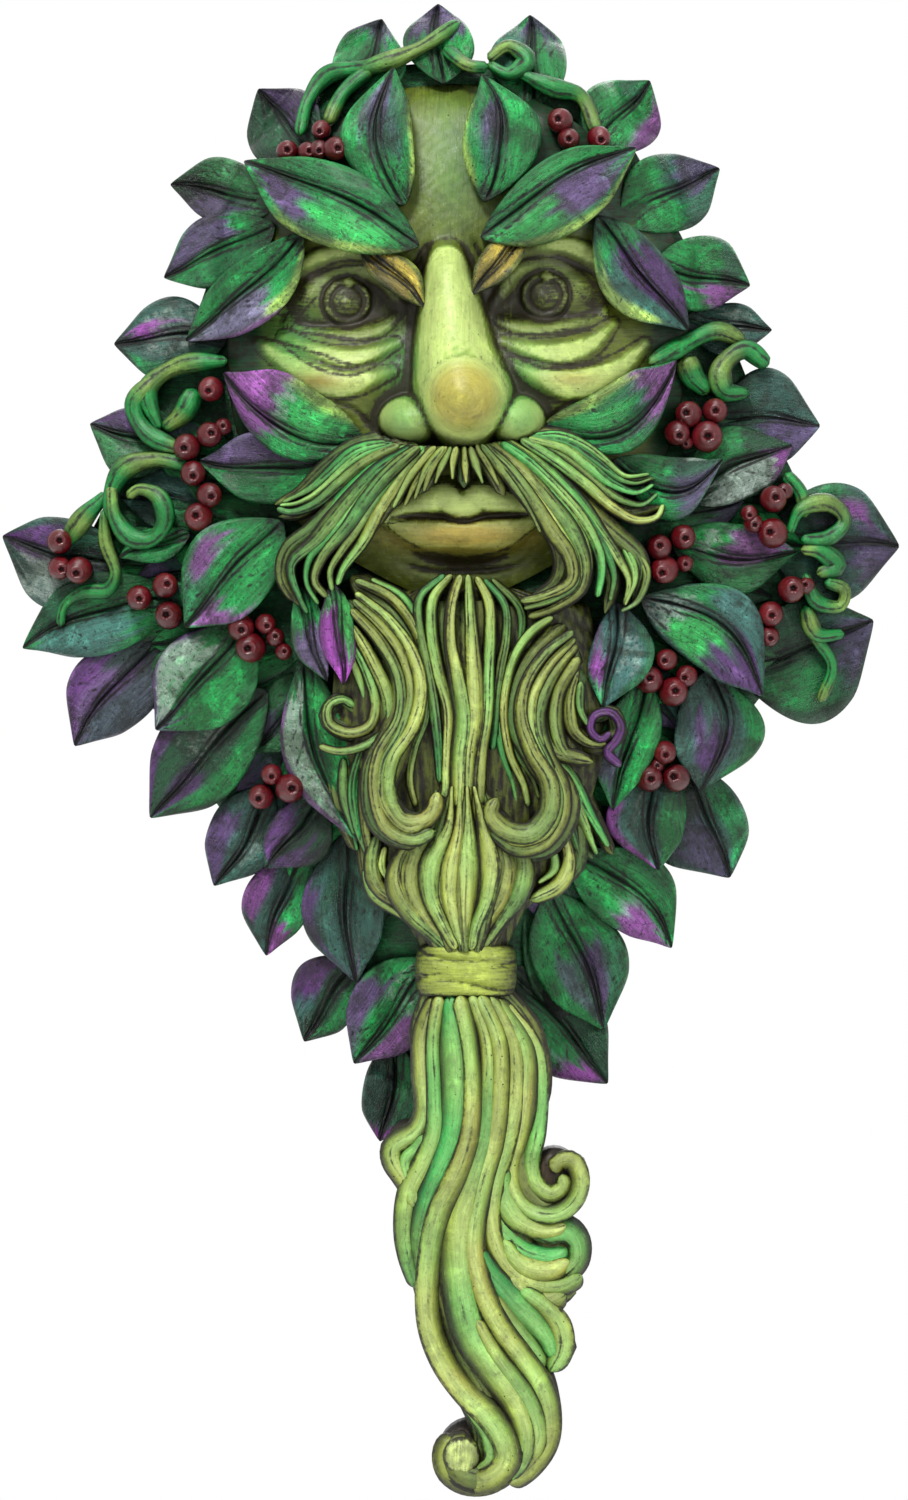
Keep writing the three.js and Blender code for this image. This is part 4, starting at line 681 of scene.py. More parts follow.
def leaf(shells, index, row):
    base_x, base_z, tip_x, tip_z, left, right, bend, tier, colour, strokes = row
    length = math.hypot(tip_x - base_x, tip_z - base_z)
    along = np.array([tip_x - base_x, tip_z - base_z]) / length
    aside = np.array([-along[1], along[0]])
    count = int(length / 1.05) + 6
    t = np.linspace(0, 1, count)
    share = 0.004 + 0.992 * (0.6 * t + 0.4 * (0.5 - 0.5 * np.cos(math.pi * t)))
    s, v = np.meshgrid(share, LINES, indexing="ij")
    half = np.where(v > 0, left, right)

    def at(s, v, half):
        sway = bend + 1.1 * math.sin(index * 1.9 + 0.5) + 0.7 * np.sin(s * 5.5 + index)
        offset = 4 * s * (1 - s) * sway + v * half * outline(s)
        return (base_x + along[0] * length * s + aside[0] * offset,
                base_z + along[1] * length * s + aside[1] * offset)

    x, z = at(s, v, half)
    reach = np.abs(v)
    full = outline(s)
    across = v * half * full
    folded = 0.35 + 0.5 * np.sin(index * 2.3 + np.sign(v) * 1.3) ** 2
    pillow = mix(2.0 * np.sin(math.pi * reach ** 0.62) ** 0.8, 2.5 * reach ** 0.9, folded)
    valley = -0.5 * peak(across, 0, 1.3)
    height = ground(x, z) + tier * TIER_STEP + LEAF_TILT * (s - 0.35) + full * (pillow + valley)
    spread = 2.3 * (1 - s) ** 0.9 + 0.1
    lines = np.zeros_like(s)
    for side in (-1, 0, 1) if left + right > 13 else (-0.6, 0.6):
        lines = np.maximum(lines, peak(across, side * spread, 0.3) * (1 - 0.15 * abs(side)))
    fade = step(0.02, 0.1, s) * (0.75 + 0.25 * np.sin(s * 13 + index))
    height = height - 0.7 * lines * fade
    veins = np.zeros_like(s)
    if left + right > 15:
        phase = (s * length - 1.3 * reach * half * full - 0.04 * across ** 2) / 5.4 + index * 0.37
        veins = peak(phase, np.round(phase), 0.06) * step(.12, .3, reach) * step(.98, .75, reach)
        veins = veins * (0.25 + 0.75 * np.sin(index * 2.4 + s * 5 + np.sign(v)) ** 2)
    height = height - 0.3 * veins
    height = height + 0.45 * np.sin(s * length / 3.1 + index) * np.sin(across / 2.3 + index * 1.7) * full
    rim = reach ** 2 * full * np.sin(s * 8 + index * 1.3 + np.sign(v) * 2)
    height = height + 0.7 * rim - 0.9 * step(0.9, 1, reach) ** 2 * full
    front = np.stack([x, -RIM - height, z], axis=-1)

    # Feet on the wall side lie at slightly different depths, so that no two share a plane
    back_y = INNER_BACK if index >= FACE_LEAVES else -0.02 - 0.01 * index
    rims = []
    for side, rim_half in ((-1, right), (1, left)):
        rows = []
        edge = front[:, 0] if side < 0 else front[:, -1]
        back_x, back_z = at(0.5 + (share - 0.5) * 0.8, np.full(count, side * 0.8), rim_half)
        for down, lean in ((0.07, -0.02), (0.3, 0.12), (1, 1)):
            y = mix(edge[:, 1], back_y, down)
            rows.append(np.stack([mix(edge[:, 0], back_x, lean), y, mix(edge[:, 2], back_z, lean)], axis=-1))
        rims.append(rows)
    ring = np.stack(rims[0][::-1] + [front[:, i] for i in range(len(LINES))] + rims[1], axis=1)
    paint = np.broadcast_to(colour, s.shape + (3,)).copy()
    # Silver dry brush, which also paints glints of light: a faint pattern, then the silver strokes
    silver_glint = 0.12 * step(0.5, 1, np.sin(s * 7 + index) * np.sin(v * 4 + index * 2))
    wander = 0.07 * np.sin(s * 9 + index * 2) + 0.06 * np.sin(v * 5 + index)
    streak = wander + 0.05 * np.sin(v * 19 + index) + 0.05 * np.sin(v * 37 + index * 3) * np.sin(s * 5)
    for daub, s0, s1, v0, v1, strength in strokes:
        inside = (step(s0 - .07, s0 + .07, s + streak) * step(s1 + .07, s1 - .07, s + streak)
                  * step(v0 - .09, v0 + .09, v + wander) * step(v1 + .09, v1 - .09, v + wander))
        if daub is SILVER_GLINT:
            silver_glint = np.maximum(silver_glint, inside * strength)
        else:
            paint = lay(paint, daub, inside * strength)
    # The raised ridges of the pillow are painted lighter and the midrib and rims darker, one half more than
    # the other: painted highlight and painted shade
    lit_ridge = peak(reach, 0.5, 0.36) * (0.75 + 0.25 * np.sign(v) * math.sin(index * 2.7))
    paint = paint * mix(0.5, 1.75, np.clip(lit_ridge + 0.25 * rim, 0, 1))[..., None]
    # Painted shade towards the foot, where the leaf tucks under its neighbours
    paint = lay(paint, paint * 0.4, 0.8 * step(0.3, 0.02, s))
    # Dark wash in the midrib lines and veins, with painted shade at the foot and along the midrib valley
    wash = (1.35 * lines + veins) * fade + 0.5 * step(0.14, 0, s) + 0.2 * peak(across, 0, 2)
    # The rims are painted lighter: dry brush that also paints the highlight on the edges
    dry = step(0.86, 0.97, reach) * step(0.08, 0.3, s)
    paint = lay(paint, np.minimum(1, paint * 2.0 + 0.02), 0.6 * dry)
    paint = np.concatenate([paint, silver_glint[..., None]], axis=-1)
    pad = np.ones(3)
    wash = np.stack([np.clip(np.concatenate([[.9, .7, .35], row, [.35, .7, .9]]), 0, 1) for row in wash])
    first_rim, last_rim = (np.repeat(paint[:, [k]], 3, axis=1) * 0.8 for k in (0, -1))
    paint = np.concatenate([first_rim, paint, last_rim], axis=1)
    full_across = np.stack([np.concatenate([pad * row[0], row, pad * row[-1]]) for row in across])
    grain = np.stack([np.repeat((share * length)[:, None], ring.shape[1], axis=1), full_across,
                      np.full(ring.shape[:2], index * 3.7)], axis=-1)
    shells.loft(ring[:, ::-1], paint[:, ::-1], wash[:, ::-1], grain[:, ::-1])


# Outline of the mass behind the leaves
BED_EDGE = [
    (0, 172), (-12, 171), (-35, 166), (-46, 151), (-57, 129), (-63, 111), (-74, 90), (-81, 72), (-90, 55),
    (-97, 38), (-90, 22), (-73, 9), (-61, -10), (-50, -27), (-33, -43), (-26, -68), (-17, -78), (-12, -92),
    (4, -100), (20, -94), (22, -79), (36, -67), (41, -45), (52, -28), (67, -3), (73, 8), (95, 36), (87, 65.5),
    (74, 92), (67, 110), (57, 129), (46, 149), (34, 163), (14, 171)]


def bed(shells):
    """The mass behind the leaves, with the flat back and the pocket for a screw head."""
    edge = np.array(BED_EDGE, float)
    fine = np.vstack([mix(edge[i], edge[(i + 1) % len(edge)], t)
                      for i in range(len(edge)) for t in (0, .25, .5, .75)])
    shares = np.linspace(1, 0.04, 26)
    grid = MIDDLE + (fine - MIDDLE)[None] * shares[:, None, None]
    ruffle = np.sin(grid[..., 0] / 1.9) * np.sin(grid[..., 1] / 2.3)
    height = ground(grid[..., 0], grid[..., 1]) - 1.5 + 0.8 * ruffle - under_face(grid[..., 0], grid[..., 1])
    front = np.stack([grid[..., 0], -RIM - height, grid[..., 1]], axis=-1)
    rows, around = front.shape[:2]
    summit = np.array([[MIDDLE[0], -RIM - float(ground(*MIDDLE)) + 1.5, MIDDLE[1]]])
    foot = np.stack([fine[:, 0], np.zeros(around), fine[:, 1]], axis=-1)
    # The pocket's sides, bottom, top and depth
    left, right, low, high, deep = -6.0, 8.0, 84.0, 108.0, -9.0
    mouth = np.array([(left, 0, low), (right, 0, low), (right, 0, high), (left, 0, high)])
    floor = mouth + np.array([0, deep, 0])
    points = np.vstack([front.reshape(-1, 3), summit, foot, mouth, floor])
    at_summit = rows * around
    at_foot = at_summit + 1
    at_mouth = at_foot + around
    a, b = cells(rows, around)
    quads = np.stack([a, b, b + around, a + around], axis=1)
    i = np.arange(around)
    j = (i + 1) % around
    wall = np.stack([i, at_foot + i, at_foot + j, j], axis=1)
    inner = (rows - 1) * around
    fan = np.stack([np.full(around, at_summit), inner + i, inner + j], axis=1)
    loops = [[Vector((p[0], p[2], 0)) for p in foot], [Vector((p[0], p[2], 0)) for p in mouth]]
    back = np.array(geometry.tessellate_polygon(loops))
    back = np.where(back < around, back + at_foot, back - around + at_mouth)
    flat = points[back]
    cross = np.cross(flat[:, 1] - flat[:, 0], flat[:, 2] - flat[:, 0])
    back[cross[:, 1] < 0] = back[cross[:, 1] < 0][:, ::-1]
    m = at_mouth + np.arange(4)
    n = at_mouth + (np.arange(4) + 1) % 4
    pocket = np.stack([m, n, n + 4, m + 4], axis=1)
    pocket_floor = at_mouth + 4 + np.array([[0, 1, 2, 3]])
    grain = np.stack([points[:, 0], points[:, 2], np.zeros(len(points))], axis=1)
    paint = np.tile(mix(FOREST, EMERALD, 0.3), (len(points), 1))
    paint[at_mouth:] = DUSK
    quads = np.vstack([quads, wall, pocket, pocket_floor])
    shells.add(points, paint, 0.3, grain, quads, np.vstack([fan, back]))


def undergrowth(shells):
    """Low leaves that fill the gaps between the main ones, pointing away from the beard."""
    edge = np.array(BED_EDGE, float)
    for number, (inner, outer) in enumerate(((0.5, 0.84), (0.66, 0.97))):
        for i in range(len(edge)):
            rim = mix(edge[i], edge[(i + 1) % len(edge)], 0.5 * number)
            base, tip = (MIDDLE + (rim - MIDDLE) * share for share in (inner, outer))
            room = math.hypot(*(tip - base))
            if room < 12 or abs(base[0]) < 16 or under_face(*mix(base, tip, 0.3)) > 1:
                continue
            width = min(8.5, 0.36 * room)
            colour = (EMERALD, FOREST, MOSS, EMERALD, SLATE)[(i + 2 * number) % 5]
            strokes = [(VIOLET, .6, 1.1, -1.1, 0.1, .6 * (i % 3 == 0)), (BRIGHT, .15, .6, 0, 1, .4 * (i % 2)),
                       (SILVER_GLINT, .3, .8, -.8, .5, .3)]
            row = (*base, *tip, width, width, (-1) ** i * 1.5, -1.3, colour, strokes)
            leaf(shells, 60 + 40 * number + i, row)


def turn_out(piece):
    """Faces of every closed shell turned outwards."""
    work = bmesh.new()
    work.from_mesh(piece.data)
    bmesh.ops.recalc_face_normals(work, faces=work.faces)
    work.to_mesh(piece.data)
    work.free()


# Steps across a strand
SECTION = np.linspace(-1, 1, 17)


def strand(shells, points, normals, half, top, foot, tint, seed, dull=0.0, pitch=0.75):
    """A lock down to its foot: leaning, with hair lines, a painted highlight on its crest and painted shade
    at its sides.
    """
    v = np.repeat(np.sin(SECTION * math.pi / 2)[None], len(points), axis=0)
    h = half[:, None]
    x = points[:, 0:1] + normals[:, 0:1] * v * h
    z = points[:, 1:2] + normals[:, 1:2] * v * h
    lean = 0.42 * math.sin(seed * 5.3)
    drop = 0.8 * np.minimum(h, 1.8) + 0.3 * np.maximum(h - 1.8, 0) + 0.25
    crest = top[:, None] - drop * np.abs(v) ** 2.3 + lean * v * np.minimum(h, 2.2) * (1 - 0.4 * v * v)
    line = np.zeros_like(v)
    many = int(np.clip(half.max() / pitch, 1, 5))
    gone = np.arange(len(v))
    for number in range(many):
        middle = (number + 1) * 2 / (many + 1) - 1 + 0.1 * np.sin(seed * 3 + number + 0.09 * gone)[:, None]
        strength = 0.5 + 0.32 * np.sin(seed + 2 * number + 0.13 * gone)[:, None]
        line = line + strength * np.exp(-(((v - middle) * h / 0.24) ** 2)) * np.clip(h - 0.5, 0, 1)
    crest = crest - 0.75 * line
    front = np.stack([x, -RIM - crest, z], axis=-1)
    low = np.stack([x[:, [-1, 0]], np.repeat(foot[:, None], 2, axis=1), z[:, [-1, 0]]], axis=-1)
    ring = np.concatenate([front, low], axis=1)
    length = np.concatenate([[0], np.cumsum(np.linalg.norm(np.diff(points, axis=0), axis=1))])
    green = np.clip(tint + 0.3 * np.sin(length / 8 + seed * 2), 0, 1)[:, None, None]
    warm = 0.55 * step(0.55, 1, np.sin(length / 11 + seed * 4.1))[:, None, None]
    body = mix(mix(STRAW, MINT, green), mix(OCHRE, STRAW, 0.4), warm * (1 - green))
    hollow = mix(mix(OLIVE, BROWN, 0.45), mix(FOREST, BROWN, 0.2), green)
    crown = mix(PALE, FRESH, green)
    if tint > 1:
        body, crown, hollow = VIOLET, mix(LILAC, MAGENTA, 0.5), VIOLET * 0.5
    # The crest, moved towards the raised side, is painted pale as a painted highlight, and the sides take the
    # hollow colour as painted shade
    side = np.abs(v - 0.6 * lean)
    paint = lay(hollow, body, step(1.0, 0.5, side))
    paint = lay(paint, crown, 0.8 * step(0.7, 0.1, side))
    shade = 0.35 * step(0.2, 1, np.sin(length / 15 + seed * 3.7))[:, None, None]
    paint = mix(paint, hollow * 1.3, np.maximum(shade, dull))
    firm = step(2.6, 1.6, h)
    # Painted shade at the sides of the strand and more on its lower side, with dark wash in the hair lines
    wash = mix(0.68, 0.9, firm) * step(0.62, 0.92, np.abs(v))
    wash = wash + 0.4 * firm * step(0.3, 0.95, -v * np.sign(lean))
    wash = wash + mix(0.8, 1.1, firm) * line + 0.15 * dull
    # The sides down to the foot are painted dark, as painted shade under the strand
    paint = np.concatenate([paint, np.repeat(paint[:, :1], 2, axis=1) * 0.5], axis=1)
    wash = np.concatenate([wash, np.full((len(points), 2), 1.0)], axis=1)
    across = np.concatenate([v * h, h, -h], axis=1)
    grain = np.stack([np.repeat(length[:, None], ring.shape[1], axis=1), across,
                      np.full(ring.shape[:2], seed)], axis=-1)
    shells.loft(ring, paint, wash, grain)


def mass(shells, row, index, back):
    """The dull body of a lock, under its bright strands: its dark paint is partly painted shade between them.
    """
    root, tip, root_top, tip_top, knots = row
    points, normals, share = curve(knots, 1.5)[:3]
    top = mix(root_top, tip_top, share) - 2.6
    foot = np.full(len(share), -0.06 - 0.012 * index) if back else -RIM - top + 9
    ends = np.minimum(1, np.minimum(step(-0.02, 0.05, share), step(1.01, 0.93, share)) + 0.12)
    strand(shells, points, normals, 0.45 * mix(root, tip, share ** 2) * ends, top, foot, 0.35, index, 0.75)


def tail_top(x, z):
    """The tail's height: crowned between its edges, lower towards its end, and raised at the big curl."""
    left, right = (read_levels(TAIL_LEVELS, z, column) for column in (1, 2))
    crown = 5 * np.sin(math.pi * np.clip((x - left) / (right - left), 0, 1))
    curl_rise = 2.6 * step(17, 26, x) * step(-124, -114, z) * step(-92, -100, z)
    return np.interp(z, [-181, -120, -60], [15.5, 21, 29]) + crown + curl_rise


def hair(shells, row, seed, pitch=0.75, in_tail=False):
    """One strand of a table, with rounded ends. A tuple for its first width lists all its widths."""
    root, middle, tip, root_top, tip_top, tint, knots = row
    points, normals, share, length = curve(knots, 0.6)
    rounding = 2.2 * (1 - np.cos(np.linspace(0, math.pi / 2, 7)))
    straight = np.linspace(2.3, length - 2.3, max(3, int(length / 1.15)))
    closer = np.unique(np.concatenate([rounding, straight, length - rounding])) / length
    points, normals = (np.stack([np.interp(closer, share, pairs[:, k]) for k in (0, 1)], axis=1)
                       for pairs in (points, normals))
    share = closer
    if isinstance(root, tuple):
        width = np.interp(share, np.linspace(0, 1, len(root)), root)
    else:
        width = 1.24 * np.interp(share, [0, 0.12, 0.5, 0.88, 1], [root * 0.7, root, middle, tip, tip * 0.8])
    if in_tail:
        width = 0.95 * width + 1.8
    width = width * (1 + 0.12 * np.sin(share * 6 + seed * 2.3))
    end = np.clip(np.minimum(share, 1 - share) * length / (0.55 * width), 0, 1)
    bulge = np.maximum(np.sqrt(1 - (1 - end) ** 2), 0.06)
    top = mix(root_top, tip_top, share)
    if in_tail:
        own = tail_top(points[:, 0], points[:, 1])
        top = np.maximum(own, top - 1.5) if root_top < 25 else own
    top = top + 0.6 * math.sin(seed * 2.7) - 0.45 * width * (1 - bulge)
    dull = 0.0 if in_tail or math.sin(seed * 7.1) < 0.1 else 0.5
    strand(shells, points, normals, width * bulge / 2, top, -RIM - top + 7, tint, seed * 1.9, dull, pitch)


def flow(shells, rows, seed):
    """Neighbouring strands, with another between each pair."""
    for i, row in enumerate(rows):
        hair(shells, row, seed + i)
    for i, (a, b) in enumerate(zip(rows, rows[1:])):
        pair = [curve(row[6], 2.0) for row in (a, b)]
        shares = np.linspace(0, 1, 9)
        ends = [np.stack([np.interp(shares, c[2], c[0][:, k]) for k in (0, 1)], axis=1) for c in pair]
        knots = mix(ends[0], ends[1], 0.5 + 0.06 * math.sin(seed + i)).ravel()
        share = [mix(a[k], b[k], 0.5) for k in range(6)]
        hair(shells, (share[0] * 0.9, share[1] * 0.86, share[2] * 0.8, share[3] - 0.5, share[4] - 0.6,
                      min(1, share[5] + 0.1), knots), seed + i + 0.5)


def read_levels(levels, z, column):
    keys = np.array([row[0] for row in levels], float)[::-1]
    return np.interp(z, keys, np.array([row[column] for row in levels], float)[::-1])


def core(shells, levels, many, tops, crown, back, index):
    """The dark body between two edges, under the strands of the beard or of its tail: its dark paint is
    partly painted shade between them.
    """
    for i in range(many):
        across = (i + 0.5) / many
        knots = [c for z, left, right in levels for c in (mix(left, right, across), z)]
        points, normals, share = curve(knots, 1.6)[:3]
        wide = read_levels(levels, points[:, 1], 2) - read_levels(levels, points[:, 1], 1)
        top = np.interp(share, [0, 0.5, 1], tops) + crown * math.sin(math.pi * across) - 2.8
        foot = np.full(len(share), -0.05 - 0.013 * (index + i)) if back else -RIM - top + 10
        strand(shells, points, normals, wide / many * 0.62, top, foot, 0.15, index + i, 0.7)


# The hollow between the locks of the beard: z, left x, right x, height
UNDER_BEARD = [(41, -12, 16, 27), (36, -27, 34, 32), (24, -29, 37, 33), (10, -30, 39, 32.5),
               (-4, -27, 37, 32), (-18, -24, 33, 31.5), (-30, -20, 28, 30.5), (-40, -13, 18, 30),
               (-52, -6, 12, 29)]


def under_beard(shells):
    rows, columns = 110, 61
    z = np.linspace(41, -52, rows)
    left, right, top = (read_levels(UNDER_BEARD, z, k) for k in (1, 2, 3))
    u = np.linspace(-1, 1, columns)[None]
    x = (left + right)[:, None] / 2 + u * (right - left)[:, None] / 2
    flow_lines = np.sin(x * 2.6 + 2.5 * np.sin(z[:, None] / 11)) + 0.5 * np.sin(x * 5.1 + z[:, None] / 7)
    height = top[:, None] - 6 * np.abs(u) ** 4 + 0.35 * flow_lines
    front = np.stack([x, -RIM - height, np.repeat(z[:, None], columns, axis=1)], axis=-1)
    foot = np.full((rows, 2), INNER_BACK - 1)
    low = np.stack([x[:, [-1, 0]], foot, np.repeat(z[:, None], 2, axis=1)], axis=-1)
    ring = np.concatenate([front, low], axis=1)
    # Dull olive, browner in the low flow lines and washed darker there: partly painted shade between the
    # locks
    tones = mix(OLIVE * 0.75, BROWN, step(0.3, -0.8, flow_lines)[..., None])
    paint = np.concatenate([tones, np.repeat(tones[:, :1], 2, axis=1)], axis=1)
    wash = np.concatenate([0.45 - 0.25 * flow_lines, np.ones((rows, 2))], axis=1)
    grain = np.stack([ring[..., 2], ring[..., 0], np.zeros(ring.shape[:2])], axis=-1)
    shells.loft(ring, paint, np.clip(wash, 0, 1), grain)


def band(shells):
    """The tie: a strap with soft creases round the beard."""
    down = np.linspace(0, 1, 25)
    rows = []
    roof = np.linspace(-1, 1, 33)
    for share in down:
        z = mix(-48.6, -61.2, share)
        bulge = 1.5 * math.sin(math.pi * share) ** 0.5
        half = 11.2 + bulge
        profile = 32 - 9 * np.abs(roof) ** 2.6 + bulge
        for middle, slope, deep in ((0.3, 0.22, 1.5), (0.52, -0.2, 1.6), (0.76, 0.16, 1.5)):
            gap = share - middle - slope * roof + 0.04 * np.sin(roof * 5 + middle * 20)
            profile = profile - deep * peak(gap, 0, 0.06) * (0.6 + 0.4 * np.sin(roof * 3 + middle * 9))
        x = 3.5 + half * np.sin(roof * math.pi / 2)
        ring = np.stack([x, -RIM - profile, np.full(len(roof), z)], axis=-1)
        feet = np.array([[3.5 + half, -3.0, z], [3.5 - half, -3.0, z]])
        rows.append(np.vstack([ring, feet]))
    rings = np.stack(rows)
    # Painted shade in the creases
    y = -rings[..., 1]
    smooth = y.copy()
    smooth[1:-1] = (y[2:] + y[:-2]) / 2
    hollow = np.clip((smooth - y) * 2.4, 0, 0.4)
    # The crown of the strap is painted light as a painted highlight, and its sides dark as painted shade
    light = step(0.95, 0.2, np.abs(np.concatenate([roof, [1, -1]])))[None].repeat(len(down), axis=0)
    paint = mix(OLIVE * 0.7, STRAW, light[..., None])
    # Painted shade also at the top and bottom edges, where the strap meets the hair
    wash = hollow + step(0.06, 0, down)[:, None] + step(0.94, 1, down)[:, None]
    wash = np.clip(wash + 0.5 * (1 - light), 0, 1)
    grain = np.stack([rings[..., 0], rings[..., 2], np.zeros_like(y)], axis=-1)
    shells.loft(rings, paint, wash, grain)


def tendril(shells, row, index):
    radius, over, knots = row
    points, normals, share, length = curve(knots, 0.8)
    centre = ground(points[:, 0], points[:, 1]) + over - radius - 1.5
    knotted = 1 + 0.16 * np.sin(share * length / 2.6 + index)
    size = 1.3 * radius * knotted * mix(0.5, 1, np.sin(math.pi * np.clip(share, 0, 1)) ** 0.6)
    size = size * np.minimum(1, step(0, 0.03, share) + 0.3) * np.minimum(1, step(1, 0.97, share) + 0.3)
    angle = np.linspace(0, 2 * math.pi, 16, endpoint=False)
    ribs = 1 - 0.13 * np.abs(np.sin(angle * 2.5)) ** 6
    cos = np.cos(angle)[None] * size[:, None] * ribs
    sin = np.sin(angle)[None] * size[:, None] * ribs
    # The underside runs down into the leaves
    down = np.where(sin < 0, sin * 3.2, sin)
    x = points[:, 0:1] + normals[:, 0:1] * cos
    z = points[:, 1:2] + normals[:, 1:2] * cos
    rings = np.stack([x, -RIM - centre[:, None] - down, z], axis=-1)
    # The top of the tendril is painted light as a painted highlight and its underside dark as painted shade;
    # the grooves between its twists are washed dark
    light = step(-0.2, 0.9, np.sin(angle))[None].repeat(len(share), axis=0)
    change = np.clip(0.02 + 0.4 * np.sin(share * 6 + index * 2.3), 0, 1)[:, None, None]
    lit_top_colour = mix(mix(EMERALD, MINT, 0.15), mix(OCHRE, LIME, 0.4), change)
    paint = mix(FOREST * 0.6, lit_top_colour, light[..., None] ** 1.5)
    grooves = np.abs(np.sin(angle * 2.5)) ** 10
    wash = np.clip(step(0.25, -0.3, np.sin(angle)) + 0.9 * grooves, 0, 1)[None].repeat(len(share), axis=0)
    gone = np.repeat(share[:, None] * length, len(angle), axis=1)
    grain = np.stack([gone, cos, np.full(cos.shape, index * 2.1)], axis=-1)
    shells.loft(rings, paint, wash, grain)


def berry(shells, row, index):
    """A ball with a puckered dimple, on a foot that stands in the leaves."""
    x, z, radius = row
    ledge = float(ground(x, z)) + 7 + 0.3 * radius
    turn = np.linspace(0, 2 * math.pi, 22, endpoint=False)
    tilt_x, tilt_z = 0.25 * math.sin(index * 2.1), 0.22 * math.cos(index * 1.3) - 0.08
    rings, washes = [], []
    size = radius * 1.05
    for polar in np.concatenate([np.linspace(0.05, 0.62, 9), np.linspace(0.75, 1.75, 9)]):
        reach = size * math.sin(min(polar, math.pi / 2))
        pucker = 1 + 0.22 * np.cos(turn * 5 + index) * math.exp(-((polar - 0.3) / 0.14) ** 2)
        dent = peak(polar, 0, 0.2 * pucker)
        lift = size * math.cos(polar) if polar < math.pi / 2 else -(polar - math.pi / 2) * 40
        height = ledge + lift - 0.5 * radius * dent + 0.06 * radius * peak(polar, 0.46, 0.12)
        slide = math.cos(min(polar, math.pi / 2)) * radius
        rings.append(np.stack([x + reach * np.cos(turn) + slide * tilt_x, -RIM - height,
                               z + reach * np.sin(turn) + slide * tilt_z], axis=-1))
        # Dark in the dimple, and painted shade on the lower side, where the ball runs into the leaves
        washes.append(np.clip(dent * 1.3 + step(1.2, 1.6, polar), 0, 1))
    rings = np.stack(rings)
    wash = np.stack(washes)
    paint = np.broadcast_to(RED * (0.85 + 0.3 * chance.random()), rings.shape).copy()
    grain = np.stack([rings[..., 0], rings[..., 2], np.full(wash.shape, index * 1.0)], axis=-1)
    shells.loft(rings, paint, wash, grain)


def dome(shells, row, index):
    """A rounded body standing on the back."""
    x, z, radius_x, radius_z, top, colour = row
    turn = np.linspace(0, 2 * math.pi, 28, endpoint=False)
    reach = np.array([0.04, 0.25, 0.45, 0.62, 0.76, 0.87, 0.95, 0.99, 1])[:, None]
    height = top - 0.55 * radius_x * (1 - np.sqrt(1 - reach ** 2))
    height[-1] = -RIM + 0.04 + 0.011 * index
    y = np.repeat(-RIM - height, len(turn), axis=1)
    rings = np.stack([x + radius_x * reach * np.cos(turn), y, z + radius_z * reach * np.sin(turn)], axis=-1)
    swirl = 0.5 + 0.5 * np.sin(turn * 2 + reach * 6)
    paint = np.broadcast_to(colour, rings.shape) * mix(0.6, 1.2, swirl)[..., None]
    wash = np.clip(0.9 * step(0.7, 1, reach) + 0.35 * swirl, 0, 1)
    grain = np.stack([rings[..., 2], rings[..., 0], np.full(wash.shape, index * 1.0)], axis=-1)
    shells.loft(rings, paint, wash, grain)


def along_path(x, z, knots):
    """Distance to a path, with the share of its length at the nearest point."""
    points, _, share, _ = curve(knots, 0.7)
    best = np.full(x.shape, 1e9)
    where = np.zeros(x.shape)
    for (px, pz), s in zip(points, share):
        gap = (x - px) ** 2 + (z - pz) ** 2
        nearer = gap < best
        best = np.where(nearer, gap, best)
        where = np.where(nearer, s, where)
    return np.sqrt(best), where


def blur(field, width):
    """Gaussian blur of a field, width in cells."""
    reach = int(3 * width)
    kernel = np.exp(-0.5 * (np.arange(-reach, reach + 1) / width) ** 2)
    kernel /= kernel.sum()
    for axis in (0, 1):
        padded = np.pad(field, [(reach, reach) if k == axis else (0, 0) for k in (0, 1)], mode="edge")
        field = sum(weight * np.take(padded, range(i, i + field.shape[axis]), axis=axis)
                    for i, weight in enumerate(kernel))
    return field


def smooth_max(a, b, soft):
    return 0.5 * (a + b + np.sqrt((a - b) ** 2 + soft ** 2))


